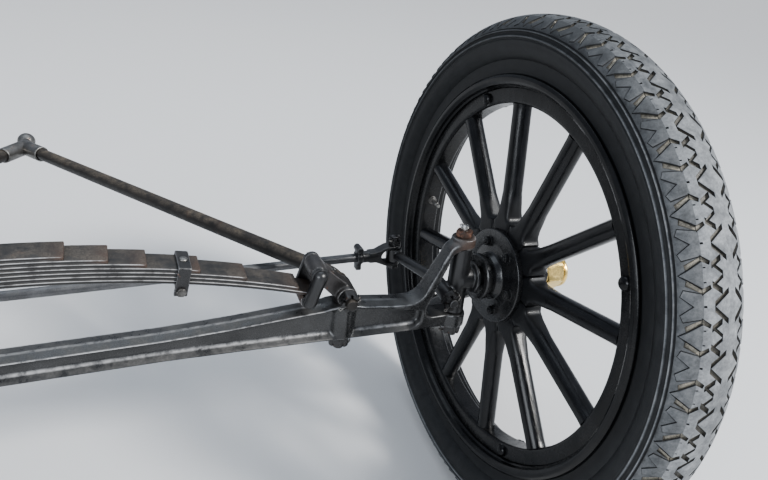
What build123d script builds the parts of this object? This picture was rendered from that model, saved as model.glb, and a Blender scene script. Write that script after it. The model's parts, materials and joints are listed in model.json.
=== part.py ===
from build123d import *
from math import sin, cos, tan, radians, degrees, asin, atan2, hypot
import os

os.makedirs("parts", exist_ok=True)

# ---------------------------------------------------------------------------
# Front axle of an early motor car, complete with its cross spring, wishbone
# radius rods, steering knuckles, tie rod and two wooden artillery wheels.
# Origin: middle of the spring pack's top face, where the frame sits on it.
# +Z up, +X the car's left hand, -Y the way the car faces. Millimetres.
# Heights named *_W are measured from the wheel centres.
# ---------------------------------------------------------------------------
SEAT_W = 119.2            # spring seat above the wheel centres
HALF_TRACK = 711.0        # 56 inch track
CAMBER = 3.5              # wheels lean out at the top, degrees
CASTER = 5.5              # king pins lean back at the top, degrees
KING_X = 621.0            # king pin from the middle
KING_W = (HALF_TRACK - KING_X) * tan(radians(CAMBER))   # stub axle meets king pin
PERCH_X = 441.0           # spring perch stud from the middle
WZ = -SEAT_W              # height of the wheel centres
KZ = WZ + KING_W
GAP = 0.15                # clearance of a pin in its hole, on the radius

# king pin and forked axle end, heights along the pin from the stub axle's axis
EAR_R = 18.0
EAR_TOP = (53.5, 68.5)
EAR_LOW = (-79.0, -56.0)
PIN_R = 8.0
BARREL_R = 14.8
BARREL = (-55.2, 52.7)

# axle beam
FLANGE_HALF = 16.0
WEB_HALF = 4.5
FLANGE_T = 8.5

# spring
LEAF_T = 5.4
LEAF_HALF_W = 17.0
SPRING_R = 1223.7
SPRING_BOTTOM_W = 82.4    # under the main leaf in the middle
PACK_TOP_W = SPRING_BOTTOM_W + 7 * LEAF_T
EYE_MID_R = 9.6
EYE_X = 387.0
# leaf number, half length along X (the first leaf carries the eyes)
LEAVES = [(2, 371.0), (3, 303.5), (4, 247.5), (5, 188.0), (6, 148.0), (7, 104.0)]
CENTRE_BOLT_R = 5.0
CENTRE_HEAD_R = 7.0
CENTRE_COLLAR_R = 8.0      # shoulder of the head, sunk in the top leaf
CLIP_X = 226.0

# perch eye, shackle
PERCH_EYE = (398.0, 52.0)     # x, height above wheel centre
PERCH_EYE_R = 12.0
SHACKLE_R = 11.5
SHACKLE_T = 7.0               # thickness of a shackle link
SHACKLE_PIN_R = 7.0
ROD_EYE_W = 9.0              # height of the radius rod's stud in the perch

# radius rods
ROD_R = 11.5
ROD_DROP = 4.0                # the tube bends down behind its stud
BALL_Y = 750.0
BALL_W = -69.0
BALL_R = 17.0
JOINT_Y = 708.0

# steering
LUG_IN = 19.0                 # arm socket, inboard of the king pin
LUG_W = -16.0
ARM_PIN = (584.0, 148.0, WZ - 40.0)
ARM_PIN_R = 6.0
ARM_BOW = (604.3, 50.0, -23.5)   # middle of the steering arm
EYE_HALF = 11.4               # half height of the arm's eye
TIE_R = 7.2

# wheel, radii and distances along its axis (outboard positive)
TYRE_R = 381.0
TYRE_WIDEST = (349.0, 49.6)  # radius and half width of the widest place
TYRE_SHOULDER = (369.6, 38.0)
RIM_R = 292.0
FELLOE_IN = 257.0
FELLOE_OUT = 280.0
FELLOE = (-24.5, 8.5)        # inboard and outboard side of the felloe
SPOKES = 12
SPOKE_A = -10.0              # middle of the spokes
SPOKE_HALF = 15.0
SPOKE_TURN = 13.7            # first spoke from the rear, degrees
FLANGE_R = 72.0
FLANGE_A = (-33.0, -25.1)
PLATE_R = 64.0
HUB_BARREL_R = 27.0
HUB_IN = -60.0
HUB_OUT = 72.0
CAP = (55.0, 86.0, 95.0)     # hexagon, its end, end of the cap

CC, SC = cos(radians(CAMBER)), sin(radians(CAMBER))
CK, SK = cos(radians(CASTER)), sin(radians(CASTER))
SIDES = [("left", 1.0), ("right", -1.0)]


def king_plane(s, h=0.0):
    """Square to the king pin, h along it from the stub axle's axis."""
    return Plane(origin=(s * KING_X, h * SK, KZ + h * CK), x_dir=(1, 0, 0), z_dir=(0, SK, CK))


def wheel_plane(s, a=0.0):
    """Square to the wheel's axis, a outboard of the wheel's centre."""
    return Plane(origin=(s * (HALF_TRACK + a * CC), 0, WZ - a * SC), x_dir=(0, 1, 0), z_dir=(s * CC, 0, -SC))


def wheel_section(s):
    """Radius is local x, distance outboard is local y."""
    # z_dir = x_dir cross y_dir
    return Plane(origin=(s * HALF_TRACK, 0, WZ), x_dir=(s * SC, 0, CC), z_dir=(0, s * 1.0, 0))


def wheel_axis(s):
    return Axis((s * HALF_TRACK, 0, WZ), (s * CC, 0, -SC))


def front(y):
    """Upright plane seen from the front, local x = X, local y = Z."""
    return Plane(origin=(0, y, 0), x_dir=(1, 0, 0), z_dir=(0, -1, 0))


def along(p, q):
    """Plane at p looking towards q."""
    d = Vector(*q) - Vector(*p)
    up = Vector(0, 0, 1)
    x = d.cross(up)
    return Plane(origin=p, x_dir=tuple(x), z_dir=tuple(d))


def dist(p, q):
    return (Vector(*q) - Vector(*p)).length


def castle_nut(plane, af, height, bore):
    """Slotted nut standing on a plane."""
    body = height * 0.62
    with BuildPart() as nut:
        with BuildSketch(plane):
            RegularPolygon(af / 2, 6, major_radius=False)
            Circle(bore, mode=Mode.SUBTRACT)
        extrude(amount=body)
        with BuildSketch(plane.offset(body)):
            Circle(af / 2 - 0.6)
            Circle(bore, mode=Mode.SUBTRACT)
        extrude(amount=height - body)
        with BuildSketch(plane.offset(height - (height - body) * 0.8)):
            for turn in (0, 60, 120):
                with Locations(Location((0, 0, 0), (0, 0, turn + 30))):
                    Rectangle(af * 1.4, 2.6)
        extrude(amount=height, mode=Mode.SUBTRACT)
    return nut.part


def save(part, label):
    part.label = label
    export_step(part, f"parts/{label}.step")


# ---------------------------------------------------------------------------
# Axle beam: I section, perch bosses, forked ends
# ---------------------------------------------------------------------------
# top edge, fork's inner edge and bottom edge, x and height above the wheel centre
TOP = [(0, -21.3), (200, -21.0), (280, -18.0), (441, -7.2), (557, -23.0), (596.5, 69.0), (621, 71.0)]
FORK = [(621, 56.5), (601.5, 56.5), (569.5, -32.0), (570.5, -44.0), (580, -50.3), (621, -50.3)]
LOW = [(621, -71.0), (592, -71.0), (561, -70.3), (441, -65.0), (280, -58.5), (200, -56.0), (0, -55.6)]
# (x, height, radius) of the corners rounded in the outline
ROUNDS = [(557, -23.0, 26.0), (596.5, 69.0, 16.0), (441, -7.2, 60.0), (601.5, 56.5, 7.0), (280, -18.0, 200.0)]
# outline of the recess in one side of the beam
RECESS = [(0, -21.3 - FLANGE_T), (200, -21.0 - FLANGE_T), (280, -18.0 - FLANGE_T), (441, -7.2 - FLANGE_T), (545, -23.4 - FLANGE_T), (563, -36.0),
          (562, -56.5), (554, -69.9 + FLANGE_T), (441, -65.0 + FLANGE_T), (280, -58.5 + FLANGE_T), (200, -56.0 + FLANGE_T), (0, -55.6 + FLANGE_T)]
# depth of the fork's arm: (height, half depth)
ARM_TAPER = [(-34.0, 16.0), (40.0, 12.5), (90.0, 12.0)]


def lifted(points):
    return [(x, z + WZ) for x, z in points]


def round_corners(sketch, rounds):
    """Round the named corners of an outline drawn in the front view."""
    for x, z, radius in rounds:
        corner = sketch.vertices().sort_by_distance((x, z + WZ, 0))[0]
        fillet(corner, radius)


with BuildPart() as axle_beam:
    with BuildSketch(front(0)) as outline:
        with BuildLine():
            Polyline(*lifted(TOP), *lifted(FORK), *lifted(LOW), close=True)
        make_face()
        round_corners(outline, ROUNDS)
        mirror(about=Plane.YZ)
    extrude(amount=FLANGE_HALF, both=True)
    # the fork's arms get slimmer towards the top
    for side, s in SIDES:
        for d in (1, -1):
            with BuildSketch(Plane(origin=(s * 545.0, 0, 0), x_dir=(0, s, 0), z_dir=(s, 0, 0))):
                with BuildLine():
                    Polyline(*[(d * half, z + WZ) for z, half in ARM_TAPER], (d * 30.0, WZ + 90.0), (d * 30.0, WZ - 34.0), close=True)
                make_face()
            extrude(amount=90.0, mode=Mode.SUBTRACT)
    # recesses of the I section, front and back
    for y0, d in ((-WEB_HALF, -1), (WEB_HALF, 1)):
        for side, s in SIDES:
            with BuildSketch(Plane(origin=(0, y0, 0), x_dir=(1, 0, 0), z_dir=(0, -1, 0))) as recess:
                with BuildLine():
                    Polyline(*lifted([(s * x, z) for x, z in RECESS]), close=True)
                make_face()
                round_corners(recess, [(s * 545, -23.4 - FLANGE_T, 8.0), (s * 563, -36.0, 5.0), (s * 562, -56.5, 5.0), (s * 554, -69.9 + FLANGE_T, 5.0)])
            extrude(amount=-d * FLANGE_HALF, mode=Mode.SUBTRACT)
    for side, s in SIDES:
        # fork ears
        for low, high in (EAR_TOP, EAR_LOW):
            with BuildSketch(king_plane(s, low)):
                Circle(EAR_R)
            extrude(amount=high - low)
        # perch boss
        with BuildSketch(Plane(origin=(s * PERCH_X, 0, WZ - 67.0))):
            Circle(17.0)
        extrude(amount=60.0)
        # the knuckle's place between the ears
        with BuildSketch(king_plane(s, BARREL[0] - 0.8)):
            Circle(EAR_R + 1.5)
        extrude(amount=BARREL[1] - BARREL[0] + 1.6, mode=Mode.SUBTRACT)
        # king pin and perch stud holes
        with BuildSketch(king_plane(s, EAR_LOW[0] - 5)):
            Circle(PIN_R + GAP)
        extrude(amount=170, mode=Mode.SUBTRACT)
        with BuildSketch(Plane(origin=(s * PERCH_X, 0, WZ - 70.0))):
            Circle(9.0 + GAP)
        extrude(amount=70.0, mode=Mode.SUBTRACT)
save(axle_beam.part, "axle_beam")

# ---------------------------------------------------------------------------
# Spring: seven leaves, centre bolt, rebound clips
# ---------------------------------------------------------------------------
ARC_Z = WZ + SPRING_BOTTOM_W - SPRING_R      # centre of all the leaves' arcs
EYE_PHI = asin(EYE_X / (SPRING_R + LEAF_T / 2 - EYE_MID_R))
EYE_C = (EYE_X, ARC_Z + (SPRING_R + LEAF_T / 2 - EYE_MID_R) * cos(EYE_PHI))


def on_arc(r, phi):
    return (r * sin(phi), ARC_Z + r * cos(phi))


def leaf_profile(r, phi):
    """Band between two arcs, drawn in the current sketch."""
    with BuildLine() as band:
        ThreePointArc(on_arc(r, -phi), on_arc(r, 0), on_arc(r, phi))
        Line(on_arc(r, phi), on_arc(r + LEAF_T, phi))
        ThreePointArc(on_arc(r + LEAF_T, phi), on_arc(r + LEAF_T, 0), on_arc(r + LEAF_T, -phi))
        Line(on_arc(r + LEAF_T, -phi), on_arc(r, -phi))
    make_face(band.edges())


with BuildPart() as main_leaf:
    with BuildSketch(front(0)):
        leaf_profile(SPRING_R, EYE_PHI)
        with Locations(EYE_C, (-EYE_C[0], EYE_C[1])):
            Circle(EYE_MID_R + LEAF_T / 2)
            Circle(SHACKLE_PIN_R + GAP, mode=Mode.SUBTRACT)
    extrude(amount=LEAF_HALF_W, both=True)
    with BuildSketch(Plane(origin=(0, 0, WZ + SPRING_BOTTOM_W - 5))):
        Circle(CENTRE_BOLT_R + GAP)
    extrude(amount=40, mode=Mode.SUBTRACT)
save(main_leaf.part, "spring_main_leaf")

for number, half in LEAVES:
    r = SPRING_R + (number - 1) * LEAF_T
    with BuildPart() as leaf:
        with BuildSketch(front(0)):
            leaf_profile(r, asin(half / r))
        extrude(amount=LEAF_HALF_W, both=True)
        with BuildSketch(Plane(origin=(0, 0, WZ + SPRING_BOTTOM_W - 5))):
            Circle((CENTRE_COLLAR_R if number == 7 else CENTRE_BOLT_R) + GAP)
        extrude(amount=60, mode=Mode.SUBTRACT)
        if number == 7:
            # flat seat ground on the top leaf
            with BuildSketch(Plane.XY):
                Rectangle(400, 60)
            extrude(amount=20, mode=Mode.SUBTRACT)
    save(leaf.part, f"spring_leaf_{number}")

with BuildPart() as centre_bolt:
    # head stands on the pack, nut under it
    with BuildSketch(Plane.XY):
        Circle(CENTRE_HEAD_R)
    extrude(amount=8.0)
    with BuildSketch(Plane(origin=(0, 0, WZ + SPRING_BOTTOM_W + 6 * LEAF_T + 0.05))):
        Circle(CENTRE_COLLAR_R)
    extrude(amount=SEAT_W - SPRING_BOTTOM_W - 6 * LEAF_T - 0.05)
    with BuildSketch(Plane(origin=(0, 0, WZ + SPRING_BOTTOM_W - 9.0))):
        Circle(CENTRE_BOLT_R)
    extrude(amount=9.0 + SEAT_W - SPRING_BOTTOM_W)
    with BuildSketch(Plane(origin=(0, 0, WZ + SPRING_BOTTOM_W - 7.1))):
        RegularPolygon(8.5, 6, major_radius=False)
    extrude(amount=7.0)
save(centre_bolt.part, "spring_centre_bolt")

CLIP_HALF_W = 8.0
CLIP_T = 3.2
for side, s in SIDES:
    phi = asin(CLIP_X / SPRING_R)
    x0, z0 = on_arc(SPRING_R, phi)
    # across the leaves at the clip: local x runs to the rear, local y up
    clip_plane = Plane(origin=(s * x0, 0, z0), x_dir=(0, 1, 0), z_dir=(s * cos(phi), 0, -sin(phi)))
    k = 1 if s > 0 else -1     # local y points up on the left, down on the right
    top = 4 * LEAF_T + 0.4
    w = LEAF_HALF_W + 0.4
    with BuildPart() as clip:
        with BuildSketch(clip_plane.offset(-CLIP_HALF_W)):
            with BuildLine():
                Polyline((-w - CLIP_T, k * -15), (-w - CLIP_T, k * (top + CLIP_T)), (w + CLIP_T, k * (top + CLIP_T)), (w + CLIP_T, k * -15),
                         (w, k * -15), (w, k * top), (-w, k * top), (-w, k * -15), close=True)
            make_face()
        extrude(amount=2 * CLIP_HALF_W)
        # bolt below the main leaf, with its spacer tube
        with BuildSketch(Plane(origin=(s * (x0 - 8 * sin(phi)), -w - CLIP_T - 4.0, z0 - 8 * cos(phi)), x_dir=(1, 0, 0), z_dir=(0, 1, 0))):
            Circle(4.0)
        extrude(amount=2 * (w + CLIP_T + 4.0))
        with BuildSketch(Plane(origin=(s * (x0 - 8 * sin(phi)), -w, z0 - 8 * cos(phi)), x_dir=(1, 0, 0), z_dir=(0, 1, 0))):
            Circle(6.2)
        extrude(amount=2 * w)
    save(clip.part, f"spring_clip_{side}")

# ---------------------------------------------------------------------------
# Perches, shackles
# ---------------------------------------------------------------------------


def waist(a, ra, b, rb):
    """Two circles joined by straight sides, in the current sketch."""
    d = hypot(b[0] - a[0], b[1] - a[1])
    ang = atan2(b[1] - a[1], b[0] - a[0])
    off = asin((ra - rb) / d)
    pts = []
    for c, rr, sgn in ((a, ra, 1), (b, rb, 1), (b, rb, -1), (a, ra, -1)):
        t = ang + sgn * (radians(90) - off)
        pts.append((c[0] + rr * cos(t), c[1] + rr * sin(t)))
    with BuildLine() as sides:
        Polyline(*pts, close=True)
    make_face(sides.edges())
    with Locations(a):
        Circle(ra)
    with Locations(b):
        Circle(rb)


for side, s in SIDES:
    eye = (s * PERCH_EYE[0], WZ + PERCH_EYE[1])
    rod = (s * PERCH_X, WZ + ROD_EYE_W)
    with BuildPart() as perch:
        with BuildSketch(front(0)):
            waist(rod, 13.5, eye, 11.0)
        extrude(amount=11.0, both=True)
        with BuildSketch(front(0)):
            with Locations(eye):
                Circle(PERCH_EYE_R)
        extrude(amount=LEAF_HALF_W, both=True)
        with BuildSketch(front(0)):
            with Locations(rod):
                Circle(14.5)
        extrude(amount=18.0, both=True)
        # shoulder on the axle, stud through it
        with BuildSketch(Plane(origin=(s * PERCH_X, 0, WZ - 7.0))):
            Circle(15.5)
        extrude(amount=14.0)
        with BuildSketch(Plane(origin=(s * PERCH_X, 0, WZ - 88.0))):
            Circle(9.0)
        extrude(amount=90.0)
        # bores for the shackle pin and the rod's stud
        with BuildSketch(front(-40)):
            with Locations(eye):
                Circle(SHACKLE_PIN_R + GAP)
            with Locations(rod):
                Circle(8.0 + GAP)
        extrude(amount=-80, mode=Mode.SUBTRACT)
    save(perch.part, f"spring_perch_{side}")

    spring_eye = (s * EYE_C[0], EYE_C[1])
    with BuildPart() as shackle:
        for d in (-1, 1):
            with BuildSketch(front(d * (LEAF_HALF_W + 0.5))):
                waist(spring_eye, SHACKLE_R, eye, SHACKLE_R)
            extrude(amount=-d * SHACKLE_T)
        with BuildSketch(front(-LEAF_HALF_W - 4)):
            with Locations(eye, spring_eye):
                Circle(SHACKLE_PIN_R)
        extrude(amount=-2 * (LEAF_HALF_W + 4))
        # nuts behind, round bosses in front
        with BuildSketch(front(LEAF_HALF_W + 0.5 + SHACKLE_T)):
            with Locations(eye, spring_eye):
                RegularPolygon(7.5, 6, major_radius=False)
        extrude(amount=-5.0)
        for centre, radius, out in ((eye, 10.0, 6.5), (spring_eye, 8.5, 2.5)):
            with BuildSketch(front(-LEAF_HALF_W - 0.5 - SHACKLE_T)):
                with Locations(centre):
                    Circle(radius)
            extrude(amount=out)
    save(shackle.part, f"shackle_{side}")

# ---------------------------------------------------------------------------
# Wishbone radius rods and their ball
# ---------------------------------------------------------------------------
BALL = (0.0, BALL_Y, WZ + BALL_W)
JOINT = (0.0, JOINT_Y, WZ + BALL_W + 4.5)
for side, s in SIDES:
    p0 = (s * PERCH_X, 26.0, WZ + ROD_EYE_W)
    p1 = (s * (PERCH_X - 2.0), 48.0, WZ + ROD_EYE_W - ROD_DROP)
    end = Vector(*JOINT) + (Vector(*p1) - Vector(*JOINT)).normalized() * 26.0
    with BuildPart() as rod_tube:
        with BuildLine() as route:
            FilletPolyline(p0, p1, tuple(end), radius=30.0)
        with BuildSketch(Plane(origin=p0, x_dir=(1, 0, 0), z_dir=(-s * 2.0, 22.0, -ROD_DROP))):
            Circle(ROD_R)
        sweep()
        # collar and stud through the perch
        with BuildSketch(front(18.2)):
            with Locations((s * PERCH_X, WZ + ROD_EYE_W)):
                Circle(13.0)
        extrude(amount=-9.5)
        with BuildSketch(front(-38.0)):
            with Locations((s * PERCH_X, WZ + ROD_EYE_W)):
                Circle(8.0)
        extrude(amount=-57.0)
    save(rod_tube.part, f"radius_rod_{side}")

with BuildPart() as rod_ball:
    for side, s in SIDES:
        p1 = (s * (PERCH_X - 2.0), 48.0, WZ + ROD_EYE_W - ROD_DROP)
        with BuildSketch(along(JOINT, p1)):
            Circle(15.0)
        extrude(amount=62.0)
    with BuildSketch(along(JOINT, BALL)):
        Circle(15.0)
    extrude(amount=12.0)
    with BuildSketch(along(JOINT, BALL)):
        Circle(10.0)
    extrude(amount=dist(JOINT, BALL))
    with Locations(Location(JOINT)):
        Sphere(15.0)
    with Locations(Location(BALL)):
        Sphere(BALL_R)
    # sockets for the two tubes
    for side, s in SIDES:
        p1 = (s * (PERCH_X - 2.0), 48.0, WZ + ROD_EYE_W - ROD_DROP)
        d = (Vector(*p1) - Vector(*JOINT)).normalized()
        start = Vector(*JOINT) + d * 25.5
        with BuildSketch(Plane(origin=tuple(start), x_dir=tuple(d.cross(Vector(0, 0, 1))), z_dir=tuple(d))):
            Circle(ROD_R + GAP)
        extrude(amount=60.0, mode=Mode.SUBTRACT)
save(rod_ball.part, "radius_rod_ball")

# ---------------------------------------------------------------------------
# Nuts on the axle, king bolts
# ---------------------------------------------------------------------------
for side, s in SIDES:
    with BuildPart() as nuts:
        add(castle_nut(Plane(origin=(s * PERCH_X, 0, WZ - 67.2), x_dir=(1, 0, 0), z_dir=(0, 0, -1)), 28.0, 15.0, 9.0 + GAP))
        add(castle_nut(Plane(origin=(s * PERCH_X, -18.2, WZ + ROD_EYE_W), x_dir=(1, 0, 0), z_dir=(0, -1, 0)), 25.0, 15.0, 8.0 + GAP))
        add(castle_nut(Plane(origin=king_plane(s, EAR_LOW[0] - 0.2).origin, x_dir=(1, 0, 0), z_dir=(0, -SK, -CK)), 25.0, 14.0, PIN_R + GAP))
    save(nuts.part, f"axle_nuts_{side}")

    with BuildPart() as king_bolt:
        with BuildSketch(king_plane(s, EAR_LOW[0] - 16.0)):
            Circle(PIN_R)
        extrude(amount=EAR_TOP[1] - EAR_LOW[0] + 16.2)
        with BuildSketch(king_plane(s, EAR_TOP[1] + 0.2)):
            RegularPolygon(11.0, 6, major_radius=False)
        extrude(amount=9.0)
        # oil cup on the head
        with BuildSketch(king_plane(s, EAR_TOP[1] + 9.2)):
            Circle(6.5)
        extrude(amount=9.0)
    save(king_bolt.part, f"king_bolt_{side}")

# ---------------------------------------------------------------------------
# Knuckles, steering arms
# ---------------------------------------------------------------------------


def cross_way(p, a, b, c):
    """Direction of the path a, b, c at p."""
    first, second = (b - a).normalized(), (c - b).normalized()
    if (p - b).length < 0.01:
        return tuple(first + second)
    return tuple(first if (p - a).length < 0.01 else second)


for side, s in SIDES:
    with BuildPart() as knuckle:
        with BuildSketch(king_plane(s, BARREL[0])):
            Circle(BARREL_R)
        extrude(amount=BARREL[1] - BARREL[0])
        # stub axle: root, shoulder, bearing shaft, outer shaft
        for a0, a1, r in ((-90.0, -68.0, 17.0), (-70.0, -63.0, 24.0), (-64.0, -22.0, 15.0), (-23.0, 66.0, 10.0)):
            with BuildSketch(wheel_plane(s, a0)):
                Circle(r)
            extrude(amount=a1 - a0)
        # socket of the steering arm
        lug = (s * (KING_X - LUG_IN), WZ + LUG_W)
        with BuildSketch(front(-18.0)):
            with Locations(lug):
                Circle(11.8)
        extrude(amount=-35.0)
        with BuildSketch(front(-11.0)):
            with Locations((s * (KING_X - LUG_IN / 2), WZ + LUG_W)):
                Rectangle(LUG_IN, 17.0)
        extrude(amount=-22.0)
        with BuildSketch(front(-30.0)):
            with Locations(lug):
                Circle(7.0 + GAP)
        extrude(amount=-60.0, mode=Mode.SUBTRACT)
        with BuildSketch(king_plane(s, BARREL[0] - 5)):
            Circle(PIN_R + GAP)
        extrude(amount=BARREL[1] - BARREL[0] + 10, mode=Mode.SUBTRACT)
    save(knuckle.part, f"knuckle_{side}")

    pin = (s * ARM_PIN[0], ARM_PIN[1], ARM_PIN[2])
    root = Vector(s * (KING_X - LUG_IN), 19.0, WZ + LUG_W)
    bow = Vector(s * ARM_BOW[0], ARM_BOW[1], WZ + ARM_BOW[2])
    near_eye = Vector(*pin) - (Vector(*pin) - bow).normalized() * 9.0
    eye_low = Vector(*pin) - Vector(0, SK, CK) * EYE_HALF
    with BuildPart() as arm:
        with BuildSketch(front(-35.0)):
            with Locations(lug):
                Circle(7.0)
        extrude(amount=-52.2)
        with BuildSketch(front(17.2)):
            with Locations(lug):
                Circle(11.5)
        extrude(amount=-6.0)
        # bowed outwards to clear the axle at full lock
        for p, q, e0, e1 in ((root, bow, (7.7, 9.6), (7.7, 10.0)), (bow, near_eye, (7.7, 10.0), (8.2, 8.0))):
            with BuildSketch(Plane(origin=tuple(p), x_dir=(1, 0, 0), z_dir=cross_way(p, root, bow, near_eye))):
                Ellipse(*e0)
            with BuildSketch(Plane(origin=tuple(q), x_dir=(1, 0, 0), z_dir=cross_way(q, root, bow, near_eye))):
                Ellipse(*e1)
            loft()
        with BuildSketch(Plane(origin=tuple(eye_low), x_dir=(1, 0, 0), z_dir=(0, SK, CK))):
            Circle(13.0)
        extrude(amount=2 * EYE_HALF)
        with BuildSketch(Plane(origin=tuple(eye_low - Vector(0, SK, CK) * 3), x_dir=(1, 0, 0), z_dir=(0, SK, CK))):
            Circle(ARM_PIN_R + GAP)
        extrude(amount=2 * EYE_HALF + 6.0, mode=Mode.SUBTRACT)
    save(arm.part, f"steering_arm_{side}")

    nut_plane = Plane(origin=(lug[0], -18.2, lug[1]), x_dir=(1, 0, 0), z_dir=(0, -1, 0))
    save(castle_nut(nut_plane, 25.0, 14.0, 7.0 + GAP), f"steering_arm_nut_{side}")

# ---------------------------------------------------------------------------
# Tie rod with its yokes and pins
# ---------------------------------------------------------------------------
PIN_TURN = Vector(0, SK, CK)
YOKE_SOCKET = 66.0        # socket's inner end from the pin
PRONG = (11.9, 17.8)      # inner and outer face of a prong, from the arm's middle
CROTCH = 25.0             # bottom of the fork from the pin
SOCKET_R = 9.8
for side, s in SIDES:
    pin = Vector(s * ARM_PIN[0], ARM_PIN[1], ARM_PIN[2])

    def tie_plane(x, h=0.0):
        """Square to the tie rod, x inboard of the pin, h along the pin."""
        return Plane(origin=tuple(pin + Vector(-s * x, 0, 0) + PIN_TURN * h), x_dir=(0, CK, -SK), z_dir=(-s, 0, 0))

    # seen along the rod's side: local x inboard of the pin, local y along the pin
    side_view = Plane(origin=tuple(pin), x_dir=(-s, 0, 0), z_dir=tuple(Vector(-s, 0, 0).cross(PIN_TURN)))

    bore = TIE_R + (0.15 if side == "left" else 1.3)
    with BuildPart() as yoke:
        # fork: outline from the side, then rounded in plan around the pin
        inner, outer = PRONG
        with BuildSketch(side_view):
            with BuildLine():
                l1 = Line((-14.0, outer), (8.0, outer))
                l2 = TangentArc(l1 @ 1, (22.5, 14.2), tangent=(1, 0))
                l3 = Line(l2 @ 1, (34.0, SOCKET_R - 0.6))
                l4 = Line(l3 @ 1, (46.0, SOCKET_R - 0.6))
                l5 = Line(l4 @ 1, (46.0, 0))
                l6 = Line(l5 @ 1, (CROTCH, 0))
                l7 = ThreePointArc(l6 @ 1, (CROTCH - inner * 0.293, inner * 0.707), (CROTCH - inner, inner))
                l8 = Line(l7 @ 1, (-14.0, inner))
                l9 = Line(l8 @ 1, l1 @ 0)
            make_face()
            mirror(about=Plane.XZ)
        extrude(amount=10.5, both=True)
        with BuildSketch(Plane(origin=tuple(pin - PIN_TURN * 20.0), x_dir=(-s, 0, 0), z_dir=tuple(PIN_TURN))):
            Circle(10.5)
            with BuildLine():
                Polyline((0, 10.5), (14.0, 10.5), (34.0, SOCKET_R - 0.6), (50.0, SOCKET_R - 0.6), (50.0, -SOCKET_R + 0.6), (34.0, -SOCKET_R + 0.6), (14.0, -10.5), (0, -10.5), close=True)
            make_face()
        extrude(amount=40.0, mode=Mode.INTERSECT)
        with BuildSketch(tie_plane(32.0)):
            Circle(SOCKET_R)
        extrude(amount=YOKE_SOCKET - 32.0)
        # clamp on top of the socket's end, with its bolt
        with BuildSketch(tie_plane(YOKE_SOCKET - 7.0)):
            Circle(SOCKET_R + 2.2)
            with Locations((0, 12.0)):
                Rectangle(13.0, 18.0)
        extrude(amount=9.0)
        with BuildSketch(Plane(origin=tuple(pin + Vector(-s * (YOKE_SOCKET - 2.5), 0, 0) + PIN_TURN * 15.5 + Vector(0, -CK, SK) * 10.5), x_dir=(1, 0, 0), z_dir=(0, CK, -SK))):
            Circle(5.8)
        extrude(amount=21.0)
        if side == "right":
            # ball stud of the drag link, behind the socket
            with BuildSketch(Plane(origin=tuple(pin + Vector(-s * 50.0, 0, 0) + Vector(0, CK, -SK) * 7.5), x_dir=(1, 0, 0), z_dir=(0, CK, -SK))):
                Circle(6.0)
            extrude(amount=22.0)
            ball_at = pin + Vector(-s * 50.0, 0, 0) + Vector(0, CK, -SK) * 35.0
            with Locations(Location(tuple(ball_at))):
                Sphere(11.0)
            print("drag link ball", ball_at)
        with BuildSketch(tie_plane(YOKE_SOCKET + 3)):
            Circle(bore)
        extrude(amount=-(YOKE_SOCKET + 3 - 32.0), mode=Mode.SUBTRACT)
        # pin bore
        with BuildSketch(Plane(origin=tuple(pin - PIN_TURN * 22), x_dir=(1, 0, 0), z_dir=tuple(PIN_TURN))):
            Circle(ARM_PIN_R + GAP)
        extrude(amount=44.0, mode=Mode.SUBTRACT)
    save(yoke.part, f"tie_rod_yoke_{side}")

    with BuildPart() as yoke_pin:
        with BuildSketch(Plane(origin=tuple(pin - PIN_TURN * 20.0), x_dir=(1, 0, 0), z_dir=tuple(PIN_TURN))):
            Circle(ARM_PIN_R)
        extrude(amount=52.5)
        with BuildSketch(Plane(origin=tuple(pin - PIN_TURN * (PRONG[1] + 0.2)), x_dir=(1, 0, 0), z_dir=tuple(PIN_TURN * -1))):
            RegularPolygon(9.0, 6, major_radius=False)
        extrude(amount=6.5)
    save(yoke_pin.part, f"tie_rod_pin_{side}")
    nut_plane = Plane(origin=tuple(pin + PIN_TURN * (PRONG[1] + 0.2)), x_dir=(1, 0, 0), z_dir=tuple(PIN_TURN))
    save(castle_nut(nut_plane, 20.0, 12.0, ARM_PIN_R + GAP), f"tie_rod_nut_{side}")

with BuildPart() as tie_rod:
    left = Vector(ARM_PIN[0] - 36.0, ARM_PIN[1], ARM_PIN[2])
    with BuildSketch(Plane(origin=tuple(left), x_dir=(0, 1, 0), z_dir=(-1, 0, 0))):
        Circle(TIE_R)
    extrude(amount=2 * ARM_PIN[0] - 36.0 - 38.0)
save(tie_rod.part, "tie_rod")

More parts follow.
